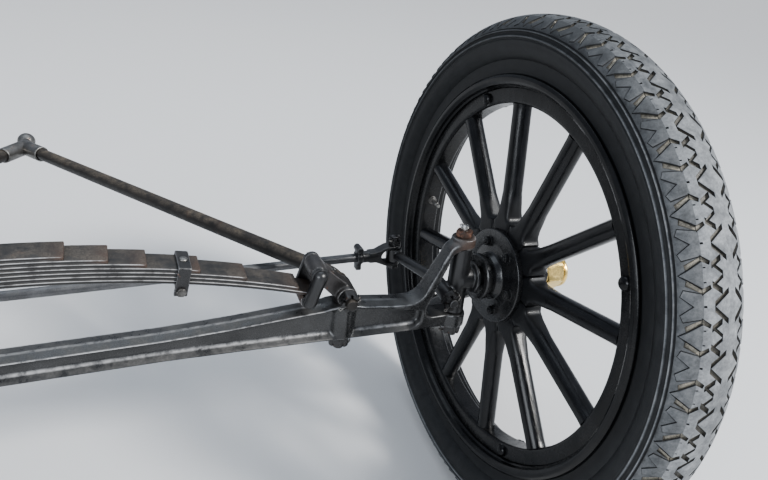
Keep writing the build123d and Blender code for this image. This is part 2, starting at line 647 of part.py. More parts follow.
# ---------------------------------------------------------------------------
# Wheels
# ---------------------------------------------------------------------------
for side, s in SIDES:
    sec = wheel_section(s)
    k = 1.0

    def turned(points):
        """Closed outline of (radius, outboard) points turned about the wheel's axis."""
        with BuildSketch(sec) as profile:
            with BuildLine():
                Polyline(*points, close=True)
            make_face()
        revolve(profile.sketch, axis=wheel_axis(s), revolution_arc=360)

    with BuildPart() as hub:
        f0, f1 = FLANGE_A
        turned([(24.6, HUB_IN), (33.0, HUB_IN), (35.0, HUB_IN + 2), (35.0, -52.0), (31.0, -50.0), (31.0, -41.0), (33.5, -37.0), (39.0, -34.0), (46.0, f0),
                (FLANGE_R - 1.5, f0), (FLANGE_R, f0 + 1.5), (FLANGE_R, f1), (HUB_BARREL_R, f1), (HUB_BARREL_R, 11.3), (26.0, 11.3), (26.0, CAP[0] - 0.2),
                (21.0, CAP[0] - 0.2), (21.0, HUB_OUT), (15.0, HUB_OUT), (15.0, -20.0), (15.3, -22.0), (15.3, -54.0), (24.6, -56.0)])
    save(hub.part, f"hub_{side}")

    with BuildPart() as plate:
        turned([(HUB_BARREL_R + 0.1, 5.2), (PLATE_R, 5.2), (PLATE_R, 10.2), (PLATE_R - 1.0, 11.2), (HUB_BARREL_R + 0.1, 11.2)])
    save(plate.part, f"hub_plate_{side}")

    with BuildPart() as spoke:
        # wedge between the hub's flanges, rounded crotch between neighbours, shank
        half_angle = radians(180.0 / SPOKES)
        g = 0.25
        crotch = 86.0
        shank = 14.0
        crotch_r = (crotch * sin(half_angle) - shank) / (1 - sin(half_angle))
        cx, cy = (crotch + crotch_r) * cos(half_angle), (crotch + crotch_r) * sin(half_angle)
        middle = radians((180.0 + 180.0 / SPOKES + 270.0) / 2)
        with BuildSketch(wheel_plane(s, SPOKE_A - SPOKE_HALF)):
            for d in (1, -1):
                with BuildLine():
                    w1 = Line((28.0, 0), (28.0, d * (28.0 * tan(half_angle) - g)))
                    w2 = Line(w1 @ 1, (crotch * cos(half_angle), d * (crotch * sin(half_angle) - g)))
                    w3 = ThreePointArc(w2 @ 1, (cx + crotch_r * cos(middle), d * (cy + crotch_r * sin(middle) - g)), (cx, d * (shank - g)))
                    w4 = Line(w3 @ 1, (cx + 2.0, d * (shank - g)))
                    w5 = Line(w4 @ 1, (cx + 2.0, 0))
                    w6 = Line(w5 @ 1, w1 @ 0)
                make_face()
        extrude(amount=2 * SPOKE_HALF)
        for r0, r1, w0, w1, t0, t1 in ((cx, 125.0, shank - g, 13.4, SPOKE_HALF, 13.8), (125.0, FELLOE_IN - 0.1, 13.4, 12.6, 13.8, 13.4)):
            base = Plane(origin=(s * (HALF_TRACK + SPOKE_A * CC), r0, WZ - SPOKE_A * SC), x_dir=(s * CC, 0, -SC), z_dir=(0, 1, 0))
            with BuildSketch(base):
                if r0 < 100:
                    RectangleRounded(2 * t0 - 0.02, 2 * w0 - 0.02, 8.0)
                else:
                    Ellipse(t0, w0)
            with BuildSketch(base.offset(r1 - r0)):
                Ellipse(t1, w1)
            loft()
    one = spoke.part.rotate(wheel_axis(s), s * SPOKE_TURN)
    with BuildPart() as spokes:
        for n in range(SPOKES):
            add(one.rotate(wheel_axis(s), n * 360.0 / SPOKES))
    save(spokes.part, f"spokes_{side}")

    with BuildPart() as felloe:
        f0, f1 = FELLOE
        turned([(FELLOE_IN + 0.3, f0 + 4), (FELLOE_IN + 1.5, f0 + 1.5), (FELLOE_IN + 4, f0), (FELLOE_OUT, f0), (FELLOE_OUT, f1), (FELLOE_IN + 4, f1), (FELLOE_IN + 1.5, f1 - 1.5), (FELLOE_IN + 0.3, f1 - 4)])
    save(felloe.part, f"felloe_{side}")

    with BuildPart() as rim:
        band = FELLOE_OUT + 0.2
        turned([(band, -27.0), (band, 27.0), (283.0, 30.0), (285.0, 35.0), (290.0, 38.0), (296.0, 37.0), (298.5, 33.5), (296.0, 32.5), (293.0, 33.5), (289.5, 31.0), (288.5, 26.0),
                (288.5, -26.0), (289.5, -31.0), (293.0, -33.5), (296.0, -32.5), (298.5, -33.5), (296.0, -37.0), (290.0, -38.0), (285.0, -35.0), (283.0, -30.0)])
    save(rim.part, f"rim_{side}")

    with BuildPart() as tyre:
        with BuildSketch(sec):
            with BuildLine():
                (rw, aw), (rs, a_s) = TYRE_WIDEST, TYRE_SHOULDER
                Polyline((300.0, 30.0), (289.2, 25.0), (289.2, -25.0), (300.0, -30.0))
                ThreePointArc((300.0, -30.0), (325.0, -42.4), (rw, -aw))
                ThreePointArc((rw, -aw), (361.0, -46.2), (rs, -a_s))
                ThreePointArc((rs, -a_s), (TYRE_R, 0.0), (rs, a_s))
                ThreePointArc((rs, a_s), (361.0, 46.2), (rw, aw))
                ThreePointArc((rw, aw), (325.0, 42.4), (300.0, 30.0))
            make_face()
        revolve(axis=wheel_axis(s), revolution_arc=360)
    save(tyre.part, f"tyre_{side}")

    with BuildPart() as cap:
        c0, c1, c2 = CAP
        with BuildSketch(wheel_plane(s, c0)):
            RegularPolygon(24.8, 6, major_radius=False)
        extrude(amount=c1 - c0)
        turned([(0.0, c1 - 1.0), (24.0, c1 - 1.0), (24.0, c1 + 0.5), (23.2, c1 + 2.0), (25.0, c1 + 3.0), (25.0, c2 - 1.0), (24.0, c2), (0.0, c2)])
        with BuildSketch(wheel_plane(s, c0 - 1.0)):
            Circle(21.2)
        extrude(amount=HUB_OUT + 0.5 - c0 + 1.0, mode=Mode.SUBTRACT)
    save(cap.part, f"hub_cap_{side}")

print("eye", EYE_C, "king z", KZ)
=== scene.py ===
import bpy, bmesh, math, json
import numpy as np
from mathutils import Vector, Matrix, geometry

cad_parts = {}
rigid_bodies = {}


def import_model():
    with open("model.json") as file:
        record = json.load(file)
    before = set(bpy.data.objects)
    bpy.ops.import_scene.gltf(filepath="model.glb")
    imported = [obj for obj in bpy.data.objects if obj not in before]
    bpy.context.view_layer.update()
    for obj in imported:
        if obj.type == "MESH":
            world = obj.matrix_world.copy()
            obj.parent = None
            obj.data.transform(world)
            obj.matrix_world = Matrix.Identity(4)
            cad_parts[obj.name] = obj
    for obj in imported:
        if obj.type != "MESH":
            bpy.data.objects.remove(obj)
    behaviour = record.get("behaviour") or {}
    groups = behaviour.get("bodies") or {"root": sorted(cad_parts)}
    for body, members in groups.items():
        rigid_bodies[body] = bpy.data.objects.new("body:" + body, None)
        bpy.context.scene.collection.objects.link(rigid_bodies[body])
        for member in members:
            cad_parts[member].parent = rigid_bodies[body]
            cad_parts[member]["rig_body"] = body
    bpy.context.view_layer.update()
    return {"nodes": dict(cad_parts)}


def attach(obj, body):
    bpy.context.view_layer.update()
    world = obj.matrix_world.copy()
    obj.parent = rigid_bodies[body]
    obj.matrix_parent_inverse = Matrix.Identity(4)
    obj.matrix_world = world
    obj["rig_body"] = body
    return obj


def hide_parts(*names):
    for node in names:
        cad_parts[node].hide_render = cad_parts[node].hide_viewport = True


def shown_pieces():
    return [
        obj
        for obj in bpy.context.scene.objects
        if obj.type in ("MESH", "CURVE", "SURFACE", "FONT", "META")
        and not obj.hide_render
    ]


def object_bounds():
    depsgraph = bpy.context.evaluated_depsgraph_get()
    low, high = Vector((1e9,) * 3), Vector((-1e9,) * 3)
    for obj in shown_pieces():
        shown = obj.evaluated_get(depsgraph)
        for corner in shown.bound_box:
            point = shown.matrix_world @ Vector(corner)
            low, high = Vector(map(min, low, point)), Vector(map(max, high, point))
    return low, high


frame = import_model()
nodes = frame["nodes"]

MM = 0.001
CC, SC = math.cos(math.radians(3.5)), math.sin(math.radians(3.5))
CK, SK = math.cos(math.radians(5.5)), math.sin(math.radians(5.5))
WZ = -119.2
KZ = WZ + 90 * math.tan(math.radians(3.5))
SIDES = (("left", 1.0), ("right", -1.0))


# ---------------------------------------------------------------------------
# mesh helpers, millimetres
# ---------------------------------------------------------------------------
def wheel_xyz(s, pts):
    """(radius, angle from up towards the front, distance outboard) to the row frame."""
    p = np.asarray(pts, float)
    r, th, a = p[:, 0], p[:, 1], p[:, 2]
    ax, up, fr = np.array([s * CC, 0, -SC]), np.array([s * SC, 0, CC]), np.array([0, -1.0, 0])
    w = np.array([s * 711.0, 0, WZ])
    return w + a[:, None] * ax + (r * np.cos(th))[:, None] * up + (r * np.sin(th))[:, None] * fr


class Bucket:
    """Gathers several closed shells into one piece."""

    def __init__(self):
        self.v, self.f, self.n = [], [], 0

    def add(self, verts, faces):
        verts = np.asarray(verts, float).reshape(-1, 3)
        self.v.append(verts)
        self.f += [tuple(i + self.n for i in f) for f in faces]
        self.n += len(verts)
        return self


def piece(name, verts, faces, body, sharp=32.0, replaces=(), attributes=None, merge=2e-6):
    me = bpy.data.meshes.new(name)
    me.from_pydata((np.asarray(verts, float) * MM).tolist(), [], faces)
    for key, values in (attributes or {}).items():
        at = me.attributes.new(key, "FLOAT", "POINT")
        at.data.foreach_set("value", np.asarray(values, np.float32))
    bm = bmesh.new()
    bm.from_mesh(me)
    bmesh.ops.remove_doubles(bm, verts=bm.verts, dist=merge)
    bmesh.ops.dissolve_degenerate(bm, edges=bm.edges, dist=1e-7)
    bmesh.ops.recalc_face_normals(bm, faces=bm.faces)
    bm.to_mesh(me)
    bm.free()
    me.shade_smooth()
    me.set_sharp_from_angle(angle=math.radians(sharp))
    o = bpy.data.objects.new(name, me)
    bpy.context.scene.collection.objects.link(o)
    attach(o, body)
    if replaces:
        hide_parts(*replaces)
    return o


def from_bucket(name, b, body, **kw):
    return piece(name, np.concatenate(b.v), b.f, body, **kw)


def rounded(points, n=5):
    """Closed outline of (x, y[, radius]): every corner with a radius becomes an arc."""
    out = []
    m = len(points)
    for i in range(m):
        p = np.array(points[i][:2], float)
        rad = points[i][2] if len(points[i]) > 2 else 0.0
        if rad <= 0:
            out.append(tuple(p))
            continue
        a = np.array(points[i - 1][:2], float) - p
        b = np.array(points[(i + 1) % m][:2], float) - p
        la, lb = np.linalg.norm(a), np.linalg.norm(b)
        a, b = a / la, b / lb
        ang = math.acos(max(-1.0, min(1.0, float(a @ b))))
        if ang > math.radians(178):
            out.append(tuple(p))
            continue
        t = min(rad / math.tan(ang / 2), la * 0.49, lb * 0.49)
        rad = t * math.tan(ang / 2)
        c = p + (a + b) / np.linalg.norm(a + b) * (rad / math.sin(ang / 2))
        p0, p1 = p + a * t - c, p + b * t - c
        w0, w1 = math.atan2(p0[1], p0[0]), math.atan2(p1[1], p1[0])
        d = (w1 - w0 + math.pi) % (2 * math.pi) - math.pi
        for k in range(n + 1):
            w = w0 + d * k / n
            out.append((c[0] + rad * math.cos(w), c[1] + rad * math.sin(w)))
    return out


def ring_faces(segs, n, closed=True):
    f = []
    for i in range(segs):
        j = (i + 1) % segs
        for k in range(n if closed else n - 1):
            l = (k + 1) % n
            f.append((i * n + k, j * n + k, j * n + l, i * n + l))
    return f


def revolve(s, profile, segs, start=0.0):
    """Closed (radius, outboard) outline turned about a wheel's axis."""
    th = start + np.arange(segs) * (2 * math.pi / segs)
    pts = [(r, t, a) for t in th for r, a in profile]
    return wheel_xyz(s, pts), ring_faces(segs, len(profile))


def unit(v):
    v = np.asarray(v, float)
    return v / np.linalg.norm(v)


def turned(origin, axis, side, profile, segs=32, af=None, twist=0.0):
    """(radius, height) outline turned about any axis; with af the rings are cut to a hexagon of that width where marked."""
    z = unit(axis)
    x = unit(np.asarray(side, float) - z * float(np.dot(side, z)))
    y = np.cross(z, x)
    v = []
    for i in range(segs):
        t = 2 * math.pi * i / segs
        for q in profile:
            r, h = q[0], q[1]
            if af and len(q) > 2:
                w = (t - twist + math.pi / 6) % (math.pi / 3) - math.pi / 6
                r = min(r, af / 2 / math.cos(w))
            v.append(np.asarray(origin, float) + z * h + x * r * math.cos(t) + y * r * math.sin(t))
    return np.array(v), ring_faces(segs, len(profile))


def hex_head(origin, axis, side, af, height, hole=0.0, twist=0.0):
    r = af / 2 / math.cos(math.pi / 6)
    ch = (r - af / 2) * 0.6
    prof = [(hole, 0, 1), (af / 2 * 0.98, 0, 1), (r, ch, 1), (r, height - ch, 1), (af / 2 * 0.96, height, 1), (hole, height, 1)]
    return turned(origin, axis, side, prof, 48, af, twist)


def dome(origin, axis, side, r, h, segs=28, base=0.0):
    prof = [(0.0, -0.5), (r, -0.5), (r, base)]
    prof += [(r * math.cos(t), base + (h - base) * math.sin(t)) for t in np.linspace(0.12, math.pi / 2, 7)]
    prof[-1] = (0.0, h)
    return turned(origin, axis, side, prof, segs)


def tube(points, radius, segs=10):
    """Round wire through points, closed at both ends."""
    P = [np.asarray(p, float) for p in points]
    d = [unit(P[min(i + 1, len(P) - 1)] - P[max(i - 1, 0)]) for i in range(len(P))]
    ref = np.array([0.0, 0, 1]) if abs(d[0][2]) < 0.9 else np.array([1.0, 0, 0])
    n0 = unit(np.cross(d[0], ref))
    rings, v = [], []
    for i, p in enumerate(P):
        n0 = unit(n0 - d[i] * float(n0 @ d[i]))
        b = np.cross(d[i], n0)
        for k in range(segs):
            t = 2 * math.pi * k / segs
            v.append(p + radius * (math.cos(t) * n0 + math.sin(t) * b))
    f = []
    for i in range(len(P) - 1):
        for k in range(segs):
            l = (k + 1) % segs
            f.append((i * segs + k, i * segs + l, (i + 1) * segs + l, (i + 1) * segs + k))
    f.append(tuple(range(segs)))
    f.append(tuple((len(P) - 1) * segs + k for k in range(segs)))
    return np.array(v), f


def softened(name, node, width, segments=2, angle=30.0, sharp=35.0, body=None, extra=None):
    """The CAD node's own shape with its corners rounded."""
    src = nodes[node].data
    bm = bmesh.new()
    bm.from_mesh(src)
    bmesh.ops.remove_doubles(bm, verts=bm.verts, dist=4e-6)
    bmesh.ops.dissolve_degenerate(bm, edges=bm.edges, dist=2e-6)
    bmesh.ops.dissolve_limit(bm, angle_limit=math.radians(0.6), verts=bm.verts, edges=bm.edges, use_dissolve_boundaries=False)
    lim = math.radians(angle)
    edges = [e for e in bm.edges if len(e.link_faces) == 2 and e.calc_face_angle(0.0) > lim]
    made = bmesh.ops.bevel(bm, geom=edges, offset=width * MM, offset_type="OFFSET", segments=segments, profile=0.5, affect="EDGES", clamp_overlap=True, loop_slide=True)
    fresh = set(made["faces"])
    bm.normal_update()
    bm.verts.index_update()
    # rim: convex bevel corners, marked for worn paint and painted highlight
    rim = np.zeros(len(bm.verts), np.float32)
    for v in bm.verts:
        if v.link_faces and all(f in fresh for f in v.link_faces):
            mid = Vector((0, 0, 0))
            for e in v.link_edges:
                mid += (e.other_vert(v).co - v.co).normalized()
            if mid.dot(v.normal) < -0.05:
                rim[v.index] = 1.0
    me = bpy.data.meshes.new(name)
    bm.to_mesh(me)
    bm.free()
    me.attributes.new("rim", "FLOAT", "POINT").data.foreach_set("value", rim)
    me.shade_smooth()
    me.set_sharp_from_angle(angle=math.radians(sharp))
    o = bpy.data.objects.new(name, me)
    bpy.context.scene.collection.objects.link(o)
    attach(o, nodes[node]["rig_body"])
    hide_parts(node)
    return o


BEAM_TOP = ([0, 200, 280, 441, 557], [-21.3, -21.0, -18.0, -7.2, -23.0])
BEAM_LOW = ([0, 200, 280, 441, 561], [-55.6, -56.0, -58.5, -65.0, -70.3])


def drafted(co):
    """The beam's flanges with a forging's draft: thin at their edges, with a parting line along the middle. Also gives
    lines of painted highlight with some wear along the parting line, the top front edge, the web's lower fillet and the
    lower flange's edge, and a factor that dims the corner marks near the pocket's end.
    """
    x, y, z = np.abs(co[:, 0]), np.abs(co[:, 1]), co[:, 2] - WZ
    top, low = np.interp(x, *BEAM_TOP), np.interp(x, *BEAM_LOW)
    out = np.clip((y - 5.0) / 11.0, 0.0, 1.0)
    up, down = z - low, top - z
    part_low = np.interp(x, [546, 562], [1.0, 0.0])
    part_top = np.interp(x, [512, 538], [1.0, 0.0])
    clear = np.interp(np.abs(x - 441.0), [20.0, 30.0], [0.0, 1.0])
    squeeze = 8.5 * 0.8 * out
    fall_low = squeeze * np.interp(up, [0.0, 8.5, 22.0], [0.0, 1.0, 0.0]) * part_low
    rise_top = 0.75 * squeeze * np.interp(down, [0.0, 8.5, 20.0], [0.0, 1.0, 0.0]) * part_top
    crown_top = 2.4 * np.clip(y / 16.0, 0.0, 1.0) * np.interp(down, [0.0, 8.5], [1.0, 0.0]) * part_top * clear
    z = z - fall_low + rise_top - crown_top
    seam = 0.7 * np.clip(1.5 - y, 0.0, 1.0) * (down < 1.2) * part_top * clear
    brow = 0.95 * np.clip((y - 13.9) / 1.2, 0.0, 1.0) * np.clip((4.5 - down) / 1.5, 0.0, 1.0) * (down > -3.0) * part_top
    root = 0.8 * np.clip(1.0 - np.abs(up - 8.8) / 1.7, 0.0, 1.0) * (y < 8.0) * part_low * clear
    foot = 0.6 * np.clip((y - 14.0) / 1.2, 0.0, 1.0) * np.clip((3.0 - up) / 1.5, 0.0, 1.0) * (up > -3.0) * part_low
    keep = np.where((x > 536.0) & (x < 580.0) & (down > 5.0) & (z < -26.0), 0.25, 1.0)
    return np.stack([co[:, 0], co[:, 1], z + WZ], 1), np.maximum(np.maximum(seam, brow), np.maximum(root, foot)), keep


def forged_piece(name, node, grid, passes=4, shape=None, raw=None):
    """The CAD node's own shape on a fine even mesh, its corners eased as on a forging; corners are marked as worn paint
    and painted highlight.
    """
    solid = nodes[node].data.copy()
    if raw:
        # vertices moved and closed shells added before the even mesh is made
        move, more = raw
        n = len(solid.vertices)
        co = np.empty(n * 3, np.float32)
        solid.vertices.foreach_get("co", co)
        solid.vertices.foreach_set("co", (move(co.reshape(n, 3).astype(float) / MM) * MM).astype(np.float32).ravel())
        bm = bmesh.new()
        bm.from_mesh(solid)
        for v, f in more:
            made = [bm.verts.new(Vector(q) * MM) for q in v]
            for face in f:
                bm.faces.new([made[i] for i in dict.fromkeys(face)])
        bm.to_mesh(solid)
        bm.free()
    tmp = bpy.data.objects.new("tmp_shape", solid)
    bpy.context.scene.collection.objects.link(tmp)
    mod = tmp.modifiers.new("even", "REMESH")
    mod.mode, mod.voxel_size, mod.adaptivity = "VOXEL", grid * MM, 0.0
    me = bpy.data.meshes.new_from_object(tmp.evaluated_get(bpy.context.evaluated_depsgraph_get()))
    me.name = name
    old = tmp.data
    bpy.data.objects.remove(tmp)
    bpy.data.meshes.remove(old)
    me.materials.clear()
    n = len(me.vertices)
    co = np.empty(n * 3, np.float32)
    me.vertices.foreach_get("co", co)
    co = co.reshape(n, 3).astype(float)
    ends = np.empty(len(me.edges) * 2, np.int32)
    me.edges.foreach_get("vertices", ends)
    a, b = ends[0::2], ends[1::2]
    count = np.maximum(np.bincount(a, minlength=n) + np.bincount(b, minlength=n), 1)[:, None]

    def mean():
        return np.stack([np.bincount(a, weights=co[b, k], minlength=n) + np.bincount(b, weights=co[a, k], minlength=n) for k in range(3)], 1) / count

    for _ in range(passes):
        co = co + 0.5 * (mean() - co)
    highlight_lines = 0.0
    if shape:
        co, highlight_lines, keep = shape(co / MM)
        co = co * MM
    me.vertices.foreach_set("co", co.astype(np.float32).ravel())
    me.update()
    nor = np.empty(n * 3, np.float32)
    me.vertex_normals.foreach_get("vector", nor)
    bend = -np.einsum("ij,ij->i", mean() - co, nor.reshape(n, 3)) / (grid * MM)
    # rim: the sharpest convex corners, painted as highlight together with worn paint
    rim = np.clip((bend - 0.085) / 0.075, 0.0, 1.0)
    if shape:
        rim = np.maximum(rim * keep, highlight_lines)
    me.attributes.new("rim", "FLOAT", "POINT").data.foreach_set("value", rim.astype(np.float32))
    me.shade_smooth()
    o = bpy.data.objects.new(name, me)
    bpy.context.scene.collection.objects.link(o)
    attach(o, nodes[node]["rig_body"])
    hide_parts(node)
    return o


# ---------------------------------------------------------------------------
# tyre: one quarter of a tread pitch is drawn flat, then wrapped round
# ---------------------------------------------------------------------------
PITCHES = 37
PU, PV = 63.0, 0.84           # millimetres per pitch and per degree of section
V_SIDE = -71.5
V_CROWN = -34.2
V_MID = 7.5                   # the tread's middle
R_MID, BULGE_R, BULGE_A = 348.7, 32.3, 49.6     # section: middle radius, half height, half width
WIDE, TALL = PU * 0.5, (V_MID - V_SIDE) * PV


def section(psi, level):
    """Point of the tyre's section at an angle from the crown (degrees), level above its surface."""
    w = np.radians(psi)
    c = np.cos(w)
    high = np.where(c >= 0, BULGE_R, 46.0)
    return R_MID + (high + level) * c, (BULGE_A + level) * np.sin(w)


def mm2(p):
    return (p[0] * PU, (p[1] - V_MID) * PV)


def bar(p, q, width):
    """Slot from p to q, ends cut along the tread's edge."""
    a, b = np.array(mm2(p)), np.array(mm2(q))
    d = b - a
    w = width * np.linalg.norm(d) / abs(d[1]) / 2
    return [(a[0] - w, a[1]), (a[0] + w, a[1]), (b[0] + w, b[1]), (b[0] - w, b[1])]


def ccw(poly):
    area = sum(poly[i][0] * poly[(i + 1) % len(poly)][1] - poly[(i + 1) % len(poly)][0] * poly[i][1] for i in range(len(poly)))
    return list(poly) if area > 0 else list(reversed(poly))


def on_border(p, q):
    e = 1e-6
    return any(abs(p[i] - c) < e and abs(q[i] - c) < e for i, c in ((0, 0.0), (0, WIDE), (1, 0.0), (1, -TALL)))


class Shape:
    def __init__(self, poly, level, groove):
        poly = ccw(poly)
        self.level, self.groove = level, groove
        self.planes = []
        for i in range(len(poly)):
            p, q = np.array(poly[i]), np.array(poly[(i + 1) % len(poly)])
            if on_border(p, q):
                continue
            d = (q - p) / np.linalg.norm(q - p)
            self.planes.append((p, np.array((d[1], -d[0]))))

    def dist(self, x, y):
        return max(float(n[0] * (x - p[0]) + n[1] * (y - p[1])) for p, n in self.planes)

    def contour(self, t):
        poly = [np.array(c, float) for c in ((0, -TALL), (WIDE, -TALL), (WIDE, 0), (0, 0))]
        for p, n in self.planes:
            new = []
            for i in range(len(poly)):
                a, b = poly[i], poly[(i + 1) % len(poly)]
                da, db = float(n @ (a - p)) - t, float(n @ (b - p)) - t
                if da <= 0:
                    new.append(a)
                if (da < 0 < db) or (db < 0 < da):
                    new.append(a + (b - a) * (da / (da - db)))
            poly = new
            if not poly:
                return []
        return poly


def tread_quarter():
    over = V_CROWN + 1.6
    raised = [
        Shape([mm2(p) for p in ((0, over), (0.197, over), (0.205, -36.0), (0.332, -58.2), (0.155, -66.6), (0, -47.0))], -0.12, False),
        Shape([mm2(p) for p in ((0.5, over), (0.268, over), (0.5, -67.8))], -0.12, False),
        Shape([mm2(p) for p in ((0, V_CROWN), (0.5, V_CROWN), (0.5, V_MID), (0, V_MID))], 0.0, False),
    ]
    grooves = [
        Shape([mm2(p) for p in ((0.209, -35.2), (0.268, -35.2), (0.424, -56.6), (0.334, -58.4))], -3.4, True),
        Shape([mm2(p) for p in ((0.186, V_CROWN - 1.6), (0.276, V_CROWN - 1.6), (0.338, -25.2), (0.282, -23.6))], -3.2, True),
        Shape(bar((0.352, -21.8), (0.236, -8.4), 4.9), -3.2, True),
        Shape(bar((0.346, -19.6), (0.474, -6.6), 2.9), -2.7, True),
        Shape(bar((0.040, -18.8), (0.242, 1.2), 4.3), -3.1, True),
        Shape([mm2(p) for p in ((0, -33.6), (0.017, -33.6), (0.017, -29.4), (0, -29.4))], -1.8, True),
        Shape([mm2(p) for p in ((0.372, -33.6), (0.392, -33.6), (0.392, -29.8), (0.372, -29.8))], -1.8, True),
    ]
    channel_shape = grooves[0]
    pts, edges = [], []

    def loop(poly):
        base = len(pts)
        pts.extend(Vector((float(p[0]), float(p[1]))) for p in poly)
        edges.extend((base + i, base + (i + 1) % len(poly)) for i in range(len(poly)))

    border = []
    vs = np.linspace(-TALL, 0, 15)
    border += [(x, -TALL) for x in np.linspace(0, WIDE, 5)]
    border += [(WIDE, y) for y in vs[1:-1]]
    border += [(x, 0.0) for x in np.linspace(WIDE, 0, 7)]
    border += [(0.0, y) for y in vs[1:-1][::-1]]
    loop(border)
    for sh in raised:
        for t in (-0.6, 0.0, 0.7):
            c = sh.contour(t)
            if len(c) > 2:
                loop(c)
    for sh in grooves:
        small = sh.level > -2
        for t in ((0.0, -0.2) if small else (0.4, 0.0, -0.5)):
            c = sh.contour(t)
            if len(c) > 2:
                loop(c)
    everything = raised + grooves
    for x in np.linspace(0, WIDE, 9)[1:-1]:
        for y in vs[1:-1]:
            if all(not (-1.3 < sh.dist(x, y) < 1.2) for sh in everything):
                pts.append(Vector((float(x), float(y))))
    out = geometry.delaunay_2d_cdt(pts, edges, [], 0, 1e-5)
    verts, faces = out[0], out[2]
    uv, lev, dust, mud_and_lit_channel = [], [], [], []
    for p in verts:
        x, y = p[0], p[1]
        v = y / PV + V_MID
        base = float(np.interp(v, [-71.5, -68, -36], [-1.9, -1.3, -1.3]))
        level = base
        w_top = 0.0
        for sh in raised:
            w = float(np.interp(sh.dist(x, y), [-0.6, 0.0, 0.7], [1.0, 0.72, 0.0]))
            level = max(level, base + (sh.level - base) * w)
            w_top = max(w_top, w)
        cut = 0.0
        for sh in grooves:
            d = sh.dist(x, y)
            if sh.level > -2:
                c = float(np.interp(d, [-0.2, 0.0], [sh.level, 0.0]))
            else:
                c = float(np.interp(d, [-0.5, 0.0, 0.4], [sh.level, -0.45, 0.0]))
            level = min(level, c)
            cut = min(cut, c)
        crown = float(np.interp(v, [V_CROWN - 0.5, V_CROWN + 0.4], [0.0, 1.0]))
        top = float(np.interp(cut, [-0.45, -0.05], [0.0, 1.0]))
        flat = w_top > 0.99 or w_top < 0.01
        # painted shade: on the shoulder the walls of pads and grooves get no dust, so the steps read as dark lines; pad
        # tops carry a little more dust than the ground between
        side = (0.58 if w_top > 0.99 else 0.50) * (1.0 - crown) if flat and cut > -0.1 else -0.9 * (1.0 - crown)
        # light mud colour along the shoulder channel, growing toward the crown: partly mud, partly a painted highlight
        # of the channel's lit floor; deep crown grooves get real mud
        deep = float(np.interp(channel_shape.dist(x, y), [-0.5, 0.2], [1.0, 0.0]))
        lit_channel = 0.9 * deep * (1.0 - crown) * float(np.interp(v, [-60, -54, -38, -35], [0.2, 0.75, 1.0, 1.0]))
        uv.append((x / PU, v))
        lev.append(level)
        dust.append(crown * top if crown > 0.5 else side)
        mud_and_lit_channel.append(max(lit_channel, crown * float(np.interp(v, [V_CROWN, -30, -26, 0], [0.85, 0.6, 0.36, 0.27])) if cut < -2.2 else 0.0))
    return np.array(uv), np.array(lev), np.array(dust), np.array(mud_and_lit_channel), faces


def side_wall():
    """Outline from the tread's edge to the bead, inboard side, as (radius, outboard, dust); the third column is high on
    the ridge tops as a painted highlight, nil in the valleys as painted shade, and never below a small floor that
    paints a faint sheen over the whole wall.
    """
    pts = []
    for psi, level, d in ((-71.5, -1.9, 0.25), (-72.3, -2.7, 0.0), (-74.0, -2.9, 0.0), (-75.0, -2.5, 0.0), (-75.6, -1.2, 0.4), (-76.3, -0.25, 0.8), (-77.3, 0.0, 0.85), (-78.3, -0.25, 0.8),
                          (-79.2, -1.2, 0.35), (-80.0, -2.6, 0.0), (-81.4, -3.1, 0.0), (-86.6, -3.1, 0.0), (-88.2, -2.6, 0.0), (-89.0, -1.2, 0.35),
                          (-89.8, -0.25, 0.75), (-90.9, 0.0, 0.8), (-92.0, -0.25, 0.7), (-93.0, -1.2, 0.3), (-93.9, -2.5, 0.0), (-95.4, -3.0, 0.0), (-97.0, -2.4, 0.06), (-98.2, -2.2, 0.06), (-100.0, -2.6, 0.0),
                          (-105.0, -2.2, 0.0), (-111.0, -2.0, 0.0), (-118.0, -2.0, 0.0), (-125.0, -2.2, 0.0), (-131.0, -2.6, 0.0), (-136.0, -3.4, 0.0)):
        r, a = section(psi, level)
        # the small floor paints a faint sheen over the whole wall
        pts.append((float(r), float(a), max(d, 0.045)))
    pts += [(307.0, -31.4, 0.0), (303.0, -31.0, 0.0), (300.6, -31.4, 0.0), (299.0, -31.4, 0.0), (297.6, -30.6, 0.0), (295.0, -29.6, 0.0), (290.0, -27.5, 0.0), (289.3, -22.0, 0.0)]
    return pts


quarter = tread_quarter()


